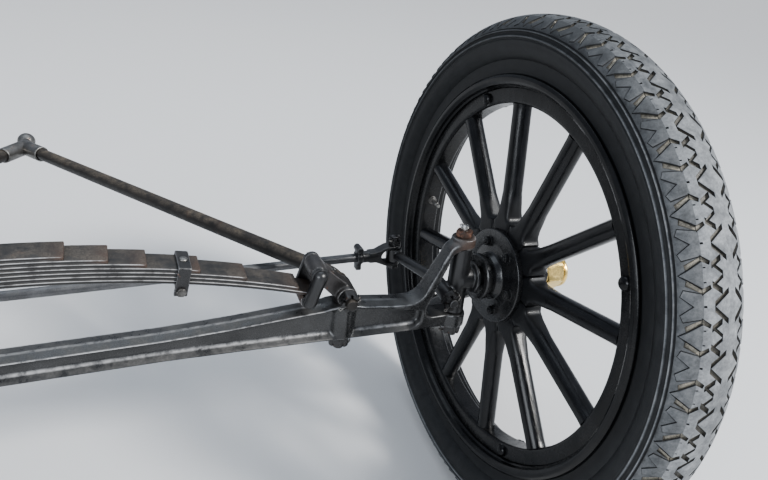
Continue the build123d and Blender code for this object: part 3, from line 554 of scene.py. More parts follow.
def make_tyre(side, s):
    uv, lev, dust, mud_and_lit_channel, faces = quarter
    pitch = 2 * math.pi / PITCHES
    th0 = math.radians(61.3)
    V, F, D, E = [], [], [], []
    base = 0
    nq = len(uv)
    for k in range(PITCHES):
        for mu in (1, -1):
            for mv in (1, -1):
                th = th0 + (k + mu * uv[:, 0]) * pitch
                far = V_MID - uv[:, 1]
                psi = uv[:, 1] if mv > 0 else V_MID + far * (1 - 2 * V_MID * far / (V_MID - V_SIDE) ** 2)
                r, a = section(psi, lev)
                V.append(wheel_xyz(s, np.stack([r, th, a], 1)))
                D.append(dust)
                E.append(mud_and_lit_channel)
                if mu * mv > 0:
                    F += [tuple(base + i for i in f) for f in faces]
                else:
                    F += [tuple(base + i for i in reversed(f)) for f in faces]
                base += nq
    segs = PITCHES * 8
    wall = side_wall()
    th = th0 + np.arange(segs) * (pitch / 8)
    n = len(wall)
    for m in (1, -1):
        pts = [(r, t, m * a) for t in th for r, a, d in wall]
        V.append(wheel_xyz(s, pts))
        D.append(np.array([d for t in th for r, a, d in wall]))
        E.append(np.zeros(len(pts)))
        for i in range(segs):
            j = (i + 1) % segs
            for q in range(n - 1):
                f = (base + i * n + q, base + j * n + q, base + j * n + q + 1, base + i * n + q + 1)
                F.append(f if m > 0 else tuple(reversed(f)))
        if m > 0:
            inner0 = base
        base += segs * n
    inner1 = base - segs * n
    for i in range(segs):
        j = (i + 1) % segs
        F.append((inner0 + i * n + n - 1, inner0 + j * n + n - 1, inner1 + j * n + n - 1, inner1 + i * n + n - 1))
    # the dust attribute holds dust together with painted highlights on the sidewall ridges and painted shade on step
    # walls and in valleys
    return piece(f"tyre_tread_{side}", np.concatenate(V), F, f"wheel_{side}", sharp=26.0, replaces=[f"tyre_{side}"],
                 attributes={"dust": np.concatenate(D), "mud_and_lit_channel": np.concatenate(E)}, merge=8e-6)


# ---------------------------------------------------------------------------
# wooden wheel
# ---------------------------------------------------------------------------
SPOKE_A = -10.0
HALF_ANGLE = math.radians(15)
CROTCH_R = (86.0 * math.sin(HALF_ANGLE) - 14.0) / (1 - math.sin(HALF_ANGLE))
CROTCH_X, CROTCH_Y = (86.0 + CROTCH_R) * math.cos(HALF_ANGLE), (86.0 + CROTCH_R) * math.sin(HALF_ANGLE)


def spoke_half_width(x):
    tangent_x = CROTCH_X - CROTCH_R * math.cos(HALF_ANGLE)
    top = 83.0
    if x <= top:
        return x * math.tan(HALF_ANGLE) - 0.25
    if x < CROTCH_X:
        return CROTCH_Y - math.sqrt(max(CROTCH_R ** 2 - (x - CROTCH_X) ** 2, 0.0)) - 0.25
    return float(np.interp(x, [CROTCH_X, 125, 235, 257], [13.75, 13.5, 12.7, 12.6]))


def make_spokes(side, s):
    xs = [29.0, 45, 60, 72, 78, 81, 83.5, 85, 86.5, 88, 89.5, 91, 92.5, 94, 96, 99, 103, 108, 114, 121, 129, 140, 160, 180, 200, 220, 238, 248, 252, 255, 257.6]
    segs = 48
    b = Bucket()
    grain, across = [], []
    for i in range(12):
        th = math.radians(-16.3 + 30 * i)
        V = []
        for x in xs:
            w = spoke_half_width(x)
            grain += [(x + 400.0 * i) * 0.06] * segs
            t = float(np.interp(x, [84, 125, 257], [15.0, 14.0, 13.4]))
            n = float(np.interp(x, [80, 88, 100, 128], [16.0, 8.0, 3.6, 2.15]))
            if x > 250:      # small shoulder where the spoke meets the felloe
                w += (x - 250) * 0.10
                t += (x - 250) * 0.05
            for k in range(segs):
                ph = 2 * math.pi * (k + 0.5) / segs
                c, sn = math.cos(ph), math.sin(ph)
                rho = (abs(c / w) ** n + abs(sn / t) ** n) ** (-1.0 / n)
                y, a = rho * c, rho * sn
                across.append((y, a))
                r = math.hypot(x, y)
                V.append((r, th + math.atan2(y, x), SPOKE_A + a + (0.5 * (x - 94) / 163 if x > 94 else 0.0)))
        F = []
        for q in range(len(xs) - 1):
            for k in range(segs):
                l = (k + 1) % segs
                F.append((q * segs + k, q * segs + l, (q + 1) * segs + l, (q + 1) * segs + k))
        F.append(tuple(range(segs)))
        F.append(tuple((len(xs) - 1) * segs + k for k in range(segs)))
        b.add(wheel_xyz(s, V), F)
    return from_bucket(f"spokes_round_{side}", b, f"wheel_{side}", sharp=40, replaces=[f"spokes_{side}"],
                       attributes={"along": grain, "over": [q[0] for q in across], "through": [q[1] for q in across]})


def make_felloe(side, s):
    prof = rounded([(257.3, -24.5, 5.5), (280.0, -24.5, 1.0), (280.0, 8.5, 1.0), (257.3, 8.5, 5.5)], 6)
    v, f = revolve(s, prof, 144)
    b = Bucket().add(v, f)
    return from_bucket(f"felloe_turned_{side}", b, f"wheel_{side}", replaces=[f"felloe_{side}"])


def make_rim(side, s):
    half = [(280.2, -27.0, 1.0), (282.4, -29.6, 2.0), (284.0, -34.6, 3.0), (288.5, -38.0, 3.4), (293.5, -38.0, 3.6), (298.3, -35.5, 2.0), (297.9, -32.6, 0.9), (294.0, -33.3, 2.0), (289.8, -31.5, 2.0), (288.5, -26.0, 1.0)]
    other = [(r, -a, q) for r, a, q in reversed(half)]
    prof = rounded(half + other, 4)
    v, f = revolve(s, prof, 144)
    return piece(f"rim_rolled_{side}", v, f, f"wheel_{side}", sharp=50, replaces=[f"rim_{side}"])


def make_hub(side, s):
    prof = rounded([(24.6, -60.0, 0.8), (33.0, -60.0, 1.2), (35.0, -58.0, 0.8), (35.0, -52.0, 1.0), (31.0, -50.0, 0.8), (31.0, -43.5, 6.0), (36.0, -35.4, 6.0), (50.0, -33.0, 9.0), (72.0, -33.0, 2.0),
                    (72.0, -25.1, 0.4), (27.0, -25.1), (27.0, 11.3, 1.0), (26.0, 11.3, 0.4), (26.0, 40.0), (26.0, 54.8, 0.8), (21.0, 54.8), (21.0, 72.0), (15.0, 72.0), (15.0, -20.0), (15.3, -22.0), (15.3, -54.0), (24.6, -56.0)], 6)
    v, f = revolve(s, prof, 96)
    piece(f"hub_turned_{side}", v, f, f"wheel_{side}", sharp=38, replaces=[f"hub_{side}"])
    prof = rounded([(27.1, 5.2), (64.0, 5.2, 0.8), (64.0, 11.2, 1.6), (27.1, 11.2, 0.5)], 4)
    v, f = revolve(s, prof, 128)
    piece(f"hub_plate_turned_{side}", v, f, f"wheel_{side}", sharp=38, replaces=[f"hub_plate_{side}"])
    # six bolts through hub, spokes and plate
    b = Bucket()
    ax = np.array([s * CC, 0, -SC])
    for k in range(6):
        th = math.radians(28.7 + 60 * k)
        p = wheel_xyz(s, [(53.0, th, -33.2)])[0]
        q = wheel_xyz(s, [(53.0, th, 10.9)])[0]
        out = p - wheel_xyz(s, [(40.0, th, -33.2)])[0]
        b.add(*turned(p, -ax, out, rounded([(0, -0.6), (8.6, -0.6), (8.6, 1.0, 0.5), (0, 1.0)], 3), 32))
        b.add(*hex_head(p - ax * 0.9, -ax, out, 13.0, 6.2, 0.0, 0.3 + k))
        b.add(*turned(p - ax * 6.0, -ax, out, rounded([(0, 0), (4.0, 0), (4.0, 2.8, 1.0), (0, 2.8)], 3), 20))
        b.add(*turned(q, ax, out, rounded([(0, -0.4), (8.2, -0.4), (8.2, 2.0, 1.2), (0, 4.4)], 4), 32))
    from_bucket(f"hub_bolts_{side}", b, f"wheel_{side}", sharp=35)
    return


def make_cap(side, s):
    """Hexagon cap with turned face."""
    rings = []
    af = 49.4
    rc = af / 2 / math.cos(math.pi / 6)
    for r, a, hexed in ((21.4, 55.2, 0), (23.4, 55.0, 0), (24.4, 56.2, 0), (24.6, 57.2, 0), (26.0, 57.4, 1), (rc, 59.2, 1), (rc, 84.4, 1), (26.6, 85.8, 1), (24.8, 86.6, 0), (23.8, 87.0, 0), (23.4, 87.8, 0), (23.9, 88.7, 0), (24.8, 89.1, 0),
                        (25.2, 90.0, 0), (25.2, 92.8, 0), (24.7, 94.2, 0), (23.4, 94.95, 0), (20.5, 94.9, 0), (19.6, 94.2, 0), (18.6, 94.0, 0), (0.0, 94.6, 0)):
        rings.append((r, a, hexed))
    segs = 96
    V = []
    for i in range(segs):
        t = 2 * math.pi * i / segs
        for r, a, hexed in rings:
            rr = r
            if hexed:
                w = (t + math.pi / 6) % (math.pi / 3) - math.pi / 6
                rr = min(r, af / 2 / math.cos(w))
            V.append((rr, t, a))
        V.append((0.0, t, 73.0))
        V.append((21.4, t, 73.0))
    n = len(rings) + 2
    v = wheel_xyz(s, V)
    return piece(f"hub_cap_turned_{side}", v, ring_faces(segs, n), f"wheel_{side}", sharp=24, replaces=[f"hub_cap_{side}"])


def make_wheel_bolts(side, s):
    ax = np.array([s * CC, 0, -SC])
    b = Bucket()
    for k in range(4):
        th = math.radians(58.5 + 90 * k)
        p = wheel_xyz(s, [(268.5, th, -24.5)])[0]
        out = p - wheel_xyz(s, [(200.0, th, -24.5)])[0]
        b.add(*dome(p, -ax, out, 9.2, 7.6, 32, 1.6))
        q = wheel_xyz(s, [(267.5, th, 8.5)])[0]
        b.add(*turned(q, ax, out, rounded([(0, -0.5), (9.6, -0.5), (9.6, 1.2, 0.5), (0, 1.2)], 3), 32))
        b.add(*hex_head(q + ax * 1.0, ax, out, 12.5, 6.0, 0.0, 0.4 * k))
        b.add(*turned(q + ax * 6.8, ax, out, rounded([(0, 0), (3.9, 0), (3.9, 3.0, 0.9), (0, 3.0)], 3), 20))
    from_bucket(f"felloe_bolts_{side}", b, f"wheel_{side}", sharp=40)
    # tyre valve, through the felloe towards the hub
    th = math.radians(-91.3)
    p = wheel_xyz(s, [(258.0, th, -8.0)])[0]
    inward = unit(wheel_xyz(s, [(100.0, th, -8.0)])[0] - p)
    prof = rounded([(0, -1.5), (8.0, -1.5), (8.0, 1.2, 0.5), (5.0, 1.4), (5.0, 5.0, 0.4), (3.9, 5.0), (3.9, 20.0), (3.2, 20.6), (3.2, 27.0, 0.5), (0, 27.0)], 3)
    v = Bucket().add(*turned(p, inward, ax, prof, 28))
    v.add(*hex_head(p + inward * 1.2, inward, ax, 12.0, 4.0))
    return from_bucket(f"tyre_valve_{side}", v, f"wheel_{side}", sharp=35)


for side, s in SIDES:
    make_tyre(side, s)
    make_spokes(side, s)
    make_felloe(side, s)
    make_rim(side, s)
    make_hub(side, s)
    make_cap(side, s)
    make_wheel_bolts(side, s)

# ---------------------------------------------------------------------------
# nuts, cotters, rods
# ---------------------------------------------------------------------------
def castle(origin, axis, side, af, height, bore, twist=0.0, deep=4.6, wide=3.4):
    """Hexagon nut with six slots across its top."""
    z = unit(axis)
    x = unit(np.asarray(side, float) - z * float(np.dot(side, z)))
    y = np.cross(z, x)
    step, gap = math.pi / 3, 0.004
    angles = []
    for k in range(6):
        c = twist + k * step
        h = math.asin(wide / af)
        angles += [(c - h - gap, 0), (c - h + gap, 1), (c, 1), (c + h - gap, 1), (c + h + gap, 0)]
        rest = np.linspace(c + h + gap, c + step - h - gap, 8)[1:-1]
        angles += [(float(q), 0) for q in rest]
    V = []
    for t, low in angles:
        w = (t - twist + math.pi / 6) % step - math.pi / 6
        hexed = af / 2 / math.cos(w)
        corner = af / 2 / math.cos(math.pi / 6)
        base = min(hexed, corner * 0.965)
        top = min(hexed, corner * 0.93)
        ch = 1.1
        if low:
            prof = [(bore, 0), (base, 0), (hexed, ch), (hexed, height - deep - 0.01), (hexed - 0.02, height - deep), (bore + 0.6, height - deep), (bore, height - deep - 0.01)]
        else:
            prof = [(bore, 0), (base, 0), (hexed, ch), (hexed, height - ch * 1.5), (top, height), (bore + 0.6, height), (bore, height - 0.5)]
        for r, h in prof:
            V.append(np.asarray(origin, float) + z * h + x * r * math.cos(t) + y * r * math.sin(t))
    return np.array(V), ring_faces(len(angles), 7)


def cotter(origin, axis, side, af, height, twist, wire=1.15):
    """Split pin through a slotted nut: eye on one side, one leg bent down, one over the stud."""
    z = unit(axis)
    x0 = unit(np.asarray(side, float) - z * float(np.dot(side, z)))
    y0 = np.cross(z, x0)
    x = x0 * math.cos(twist) + y0 * math.sin(twist)
    y = np.cross(z, x)
    o = np.asarray(origin, float) + z * (height - 2.3)
    r = af / 2
    out = []
    for k, leg in ((1, [(r + 0.6, 0.2), (r + 2.0, -0.8), (r + 2.2, -3.0), (r + 1.9, -7.0)]), (-1, [(r + 0.4, 0.6), (r + 1.0, 2.4), (r - 1.2, 3.7), (r - 4.5, 4.2)])):
        pts = [o + x * (-r - 5.4) + y * k * 0.1, o + x * (-r - 4.8) + y * k * 1.7, o + x * (-r - 3.2) + y * k * 2.3, o + x * (-r - 1.2) + y * k * 1.2, o + x * (-r + 0.5) + y * k * 0.7,
               o + y * k * 0.7, o + x * (r - 1.0) + y * k * 0.7]
        pts += [o + x * h + z * v + y * k * 0.7 for h, v in leg]
        out.append(tube(pts, wire, 8))
    return out


def ball_profile(r, neck, start, stop, n=10):
    """Half outline of a ball standing on a neck, as (radius, height)."""
    out = [(0.0, start), (neck, start)]
    low = math.asin(neck / r)
    for t in np.linspace(low, math.pi, n + 6):
        out.append((r * math.sin(t), stop - r * math.cos(t)))
    out[-1] = (0.0, stop + r)
    return out


PERCH_X = 441.0
PIN_UP = np.array([0.0, SK, CK])
BALL_C, JOINT_C = np.array([0.0, 750.0, WZ - 69.0]), np.array([0.0, 708.0, WZ - 64.5])
for side, s in SIDES:
    b = Bucket()
    pins = Bucket()
    for origin, axis, af, height, bore, twist in (((s * PERCH_X, 0, WZ - 67.2), (0, 0, -1.0), 28.0, 15.0, 9.2, 0.35), ((s * PERCH_X, -18.2, WZ + 9.0), (0, -1.0, 0), 25.0, 15.0, 8.2, 0.5),
                                                  ((s * 621.0, -79.2 * SK, KZ - 79.2 * CK), tuple(-PIN_UP), 25.0, 14.0, 8.2, 0.2)):
        b.add(*castle(origin, axis, (1, 0, 0), af, height, bore, twist))
        for v, f in cotter(origin, axis, (1, 0, 0), af, height, twist):
            pins.add(v, f)
    from_bucket(f"axle_nuts_slotted_{side}", b, "axle", sharp=28, replaces=[f"axle_nuts_{side}"])
    from_bucket(f"axle_cotters_{side}", pins, "axle", sharp=50)

    origin, axis = (s * 602.0, -18.2, WZ - 16.0), (0, -1.0, 0)
    b = Bucket().add(*castle(origin, axis, (1, 0, 0), 25.0, 14.0, 7.2, 0.9))
    from_bucket(f"arm_nut_slotted_{side}", b, f"steering_{side}", sharp=28, replaces=[f"steering_arm_nut_{side}"])
    pins = Bucket()
    for v, f in cotter(origin, axis, (1, 0, 0), 25.0, 14.0, 0.9):
        pins.add(v, f)
    from_bucket(f"arm_cotter_{side}", pins, f"steering_{side}", sharp=50)

    rod_body = nodes[f"tie_rod_nut_{side}"]["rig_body"]
    origin = np.array([s * 584.0, 148.0, WZ - 40.0]) + PIN_UP * 18.0
    b = Bucket().add(*castle(origin, PIN_UP, (1, 0, 0), 20.0, 12.0, 6.2, 0.6, 4.0, 3.0))
    from_bucket(f"pin_nut_slotted_{side}", b, rod_body, sharp=28, replaces=[f"tie_rod_nut_{side}"])
    pins = Bucket()
    for v, f in cotter(origin, PIN_UP, (1, 0, 0), 20.0, 12.0, 0.6, 1.0):
        pins.add(v, f)
    from_bucket(f"pin_cotter_{side}", pins, rod_body, sharp=50)

    # radius rod: stud and collar at the perch, tube to the ball
    p0, p1 = np.array([s * PERCH_X, 20.0, WZ + 9.6]), np.array([s * (PERCH_X - 2), 48.0, WZ + 5.0])
    way = unit(p1 - JOINT_C)
    end = JOINT_C + way * 26.0
    first = unit(p1 - p0)
    bend = []
    for q in np.linspace(0, 1, 9):
        a0, c0 = p1 - first * 11.0, p1 - way * 11.0
        bend.append((1 - q) ** 2 * a0 + 2 * q * (1 - q) * p1 + q * q * c0)
    b = Bucket().add(*tube([p0] + bend + [bend[-1] + (end - bend[-1]) * q for q in (0.1, 0.3, 0.5, 0.7, 0.9, 1.0)], 11.5, 36))
    at = np.array([s * PERCH_X, 0.0, WZ + 9.0])
    b.add(*turned(at + np.array([0, 18.3, 0]), (0, 1, 0), (1, 0, 0), rounded([(0, 0), (12.9, 0, 0.6), (12.9, 9.4, 2.0), (11.0, 9.6), (0, 9.6)], 3), 40))
    b.add(*turned(at + np.array([0, 19.0, 0]), (0, -1, 0), (1, 0, 0), rounded([(0, 0), (7.95, 0), (7.95, 57.0, 1.6), (0, 57.0)], 3), 32))
    from_bucket(f"radius_rod_tube_{side}", b, "axle", sharp=35, replaces=[f"radius_rod_{side}"])

    forged_piece(f"perch_forging_{side}", f"spring_perch_{side}", 1.3)
    # shackle: the front link is a round bar between two collars
    eye, low_eye = np.array([s * 398.0, WZ + 52.0]), np.array([s * 387.0, WZ + 82.4 - 1223.7 + 1216.8 * math.cos(math.asin(387.0 / 1216.8))])
    span = low_eye - eye

    def slim(co, eye=eye, span=span):
        p = co[:, (0, 2)] - eye
        c = np.clip(p @ span / float(span @ span), 0.0, 1.0)[:, None] * span
        front = (co[:, 1] < -17.3)[:, None]
        flat = np.where(front, eye + c + (p - c) * 0.80, co[:, (0, 2)])
        y = np.where(co[:, 1] < -24.5, -24.5 + (co[:, 1] + 24.5) * 0.25, co[:, 1])
        return np.stack([flat[:, 0], y, flat[:, 1]], 1)

    a3, b3 = np.array([eye[0], -22.2, eye[1]]), np.array([low_eye[0], -21.4, low_eye[1]])
    reach = float(np.linalg.norm(b3 - a3))
    cap = [(9.9 * math.sin(q), -9.9 * math.cos(q)) for q in np.linspace(0.05, math.pi / 2, 9)] + [(9.0, reach * 0.5)] + [(8.9 * math.cos(q), reach + 8.9 * math.sin(q)) for q in np.linspace(0, math.pi / 2 - 0.05, 9)]
    v, f = turned(a3, b3 - a3, (0, 1, 0), [(0.0, cap[0][1])] + cap + [(0.0, cap[-1][1])], 36)
    v[:, 1] = np.minimum(v[:, 1], -17.4)
    forged_piece(f"shackle_forging_{side}", f"shackle_{side}", 1.0, 5, raw=(slim, [(v, [q for q in f if len(set(q)) > 2])]))
    ring = rounded([(0, 0), (12.2, 0, 0.5), (12.2, 2.3, 0.7), (11.0, 2.7), (11.0, 3.3), (11.8, 3.6, 0.5), (11.8, 5.4, 0.7), (0, 5.6)], 3)
    b = Bucket().add(*turned((eye[0], -17.3, eye[1]), (0, -1, 0), (1, 0, 0), ring, 48))
    b.add(*turned((low_eye[0], -17.3, low_eye[1]), (0, -1, 0), (1, 0, 0), rounded([(0, 0), (11.2, 0, 0.5), (11.2, 2.4, 0.8), (0, 2.8)], 3), 44))
    from_bucket(f"shackle_collars_{side}", b, "axle", sharp=35)
    # oiler on the perch
    out = unit([s * 1.0, 0, 1.0])
    b = Bucket().add(*turned(np.array([s * 413.5, -2.0, -82.7]) + out * 10.0, out, (0, 1, 0), rounded([(0, 0), (3.4, 0), (3.4, 3.0, 0.4), (2.2, 3.6), (2.2, 4.4), (2.9, 4.8, 0.4), (2.9, 6.6, 0.9), (0, 7.2)], 3), 24))
    from_bucket(f"perch_oiler_{side}", b, "axle", sharp=35)
    forged_piece(f"knuckle_forging_{side}", f"knuckle_{side}", 1.5)
    forged_piece(f"yoke_forging_{side}", f"tie_rod_yoke_{side}", 1.15)

    def eased(co, s=s):
        """The pin's eye a little wider, so that the even mesh clears the pin."""
        off = co - np.array([s * 584.0, 148.7, -151.95])
        off = off - np.outer(off @ PIN_UP, PIN_UP)
        r = np.linalg.norm(off, axis=1)
        return co + off * np.where(np.abs(r - 6.15) < 0.3, 0.5 / np.maximum(r, 1.0), 0.0)[:, None]

    forged_piece(f"steering_arm_forging_{side}", f"steering_arm_{side}", 1.2, raw=(eased, []))
    softened(f"pin_turned_{side}", f"tie_rod_pin_{side}", 0.6, 2, 32.0)
    forged_piece(f"clip_bent_{side}", f"spring_clip_{side}", 0.9, 2)

    # king bolt: shank, hexagon head, oil cup
    foot = np.array([s * 621.0, 0.0, KZ])
    b = Bucket().add(*turned(foot - PIN_UP * 95.0, PIN_UP, (1, 0, 0), rounded([(0, 0), (7.9, 0, 1.2), (7.9, 163.8), (0, 163.8)], 3), 32))
    b.add(*hex_head(foot + PIN_UP * 68.7, PIN_UP, (1, 0, 0), 22.0, 9.0, 0.0, 0.25))
    from_bucket(f"king_bolt_turned_{side}", b, "axle", sharp=30, replaces=[f"king_bolt_{side}"])
    cup = [(0, 0), (4.6, 0), (4.6, 2.0, 0.4), (6.2, 2.4, 0.4), (6.2, 6.0, 0.4), (5.4, 6.6), (5.2, 7.8, 0.8), (2.0, 8.9, 0.5), (0, 8.95)]
    b = Bucket().add(*turned(foot + PIN_UP * 77.6, PIN_UP, (1, 0, 0), rounded(cup, 3), 28))
    b.add(*tube([foot + PIN_UP * 83.5 + np.array(q) for q in ((-6.3, -1.5, 0.6), (-7.2, 1.2, 1.2), (-6.2, 4.6, 1.0), (-3.0, 7.0, 0.6), (1.0, 7.3, 0.2), (4.4, 5.6, 0))], 0.9, 8))
    from_bucket(f"king_oiler_{side}", b, "axle", sharp=35)

    # rivet and bolt ends of the rebound clip
    phi = math.asin(226.0 / 1223.7)
    nrm = np.array([s * math.sin(phi), 0, math.cos(phi)])
    arc_z = WZ + 82.4 - 1223.7
    base = np.array([0, 0, arc_z]) + nrm * 1223.7
    b = Bucket()
    b.add(*dome(base + nrm * 25.0, nrm, (0, 1, 0), 5.2, 3.0, 24, 0.5))
    bolt = base - nrm * 8.0
    for q in (-1.0, 1.0):
        b.add(*hex_head(bolt + np.array([0, q * 20.5, 0]), (0, q, 0), (1, 0, 0), 11.0, 3.4, 0.0, 0.3))
        b.add(*turned(bolt + np.array([0, q * 23.8, 0]), (0, q, 0), (1, 0, 0), rounded([(0, 0), (3.9, 0), (3.9, 0.9, 0.5), (0, 1.2)], 2), 20))
    from_bucket(f"clip_fixings_{side}", b, "axle", sharp=35)

# ball and sockets where the radius rods meet
b = Bucket()
for side, s in SIDES:
    way = unit(np.array([s * (PERCH_X - 2), 48.0, WZ + 5.0]) - JOINT_C)
    b.add(*turned(JOINT_C, way, (0, 0, 1), rounded([(0, 0), (14.9, 0), (14.9, 58.0), (14.9, 61.9, 1.5), (11.8, 61.9, 0.8), (11.8, 26.0), (0, 26.0)], 3), 36))
b.add(*turned(JOINT_C - unit(BALL_C - JOINT_C) * 14.9, BALL_C - JOINT_C, (0, 0, 1), [(14.9 * math.sin(q), 14.9 - 14.9 * math.cos(q)) for q in np.linspace(0, math.pi * 0.86, 12)] + [(0.0, 28.0)], 36))
reach = float(np.linalg.norm(BALL_C - JOINT_C))
b.add(*turned(JOINT_C, BALL_C - JOINT_C, (0, 0, 1), ball_profile(16.95, 9.9, 4.0, reach), 40))
from_bucket("radius_rod_ball_turned", b, "axle", sharp=35, replaces=["radius_rod_ball"])

# tie rod
b = Bucket().add(*turned((548.0, 148.0, WZ - 40.0), (-1, 0, 0), (0, 1, 0), rounded([(0, 0), (7.2, 0, 0.8)] + [(7.2, q) for q in (200.0, 400.0, 600.0, 800.0, 1000.0)] + [(7.2, 1094.0, 0.8), (0, 1094.0)], 2), 32))
from_bucket("tie_rod_bar", b, nodes["tie_rod"]["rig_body"], sharp=35, replaces=["tie_rod"])

# spring and beam with rounded corners
forged_piece("axle_forging", "axle_beam", 2.1, 3, shape=drafted)
def strip(name, path, normals, half, thick, replaces, flat_top=None):
    """Spring leaf: rounded bar along a path in the X-Z plane."""
    path, normals = [np.array(q, float) for q in path], [np.array(q, float) for q in normals]
    outline = rounded([(-half, 0, 1.7), (half, 0, 1.7), (half, thick, 1.7), (-half, thick, 1.7)], 3)
    m = len(outline)
    V, rim, tip = [], [], []
    last = len(path) - 1
    for i, (p, n) in enumerate(zip(path, normals)):
        near = min(float(np.linalg.norm(p - path[0])), float(np.linalg.norm(p - path[last])))
        inset = float(np.interp(near, [0, 0.35, 0.9, 1.4], [1.2, 0.5, 0.12, 0.0]))
        for k, (y, h) in enumerate(outline):
            y = y - math.copysign(inset, y)
            h = min(max(h, inset), thick - inset)
            q = p + n * h
            z = min(q[1], flat_top) if flat_top is not None else q[1]
            V.append((q[0], y, z))
            # rim: painted highlight with some wear along the leaf's upper corners, fainter along its lower ones
            rim.append((0.9 if k in (9, 14) else 0.3 if k in (1, 6) else 0.0) if near > 2.0 else 0.0)
            tip.append(float(np.interp(near, [0, 3, 12, 26], [1.0, 0.9, 0.5, 0.0])))
    F = [(i * m + k, (i + 1) * m + k, (i + 1) * m + (k + 1) % m, i * m + (k + 1) % m) for i in range(last) for k in range(m)]
    F.append(tuple(range(m)))
    F.append(tuple(last * m + k for k in range(m)))
    return piece(name, V, F, "axle", sharp=40, replaces=[replaces], attributes={"rim": rim, "tip": tip})


ARC_Z = WZ + 82.4 - 1223.7
for k, half in ((2, 371.0), (3, 303.5), (4, 247.5), (5, 188.0), (6, 148.0), (7, 104.0)):
    low = 1223.7 + (k - 1) * 5.4
    end = math.asin(half / low)
    step = 1.0 / low
    ang = np.concatenate([[-end, -end + 0.35 * step, -end + 0.9 * step, -end + 1.4 * step], np.linspace(-end + 8 * step, end - 8 * step, 56), [end - 1.4 * step, end - 0.9 * step, end - 0.35 * step, end]])
    strip(f"spring_leaf_{k}_rolled", [(low * math.sin(q), ARC_Z + low * math.cos(q)) for q in ang], [(math.sin(q), math.cos(q)) for q in ang], 17.0, 5.4, f"spring_leaf_{k}", 0.0 if k == 7 else None)
turn = math.asin(387.0 / (1223.7 + 2.7 - 9.6))
eye_x, eye_z = 387.0, ARC_Z + (1223.7 + 2.7 - 9.6) * math.cos(turn)
half_path, half_up = [], []
for q in np.linspace(0, turn, 34):
    half_path.append((1223.7 * math.sin(q), ARC_Z + 1223.7 * math.cos(q)))
    half_up.append((math.sin(q), math.cos(q)))
for q in np.concatenate([np.linspace(0.12, 5.0, 38), [5.06, 5.11, 5.15]]):
    w = turn + q
    half_path.append((eye_x + 7.0 * math.sin(w), eye_z + 7.0 * math.cos(w)))
    half_up.append((math.sin(w), math.cos(w)))
strip("spring_leaf_main_rolled", [(-x, z) for x, z in half_path[:0:-1]] + half_path, [(-x, z) for x, z in half_up[:0:-1]] + half_up, 17.0, 5.35, "spring_main_leaf")
softened("centre_bolt_turned", "spring_centre_bolt", 0.6, 2, 32.0)

# camera at the photograph's angle
W0 = Vector((0.711, 0.0, -0.1192))
C = W0 + Vector((-0.5466, -0.6802, 0.5274))
yaw, pitch, roll = 0.4484, 0.5301, 0.1387
f = Vector((math.sin(yaw) * math.cos(pitch), math.cos(yaw) * math.cos(pitch), -math.sin(pitch)))
r = Vector((math.cos(yaw), -math.sin(yaw), 0))
u = r.cross(f)
r2 = math.cos(roll) * r + math.sin(roll) * u
u2 = -math.sin(roll) * r + math.cos(roll) * u
cam = bpy.data.cameras.new("camera")
camo = bpy.data.objects.new("camera", cam)
bpy.context.scene.collection.objects.link(camo)
M = Matrix((r2, u2, -f)).transposed().to_4x4()
M.translation = C
camo.matrix_world = M
cam.sensor_width = 36.0
cam.lens = 647.3 / 768.0 * 36.0
cam.clip_start = 0.02
bpy.context.scene.camera = camo

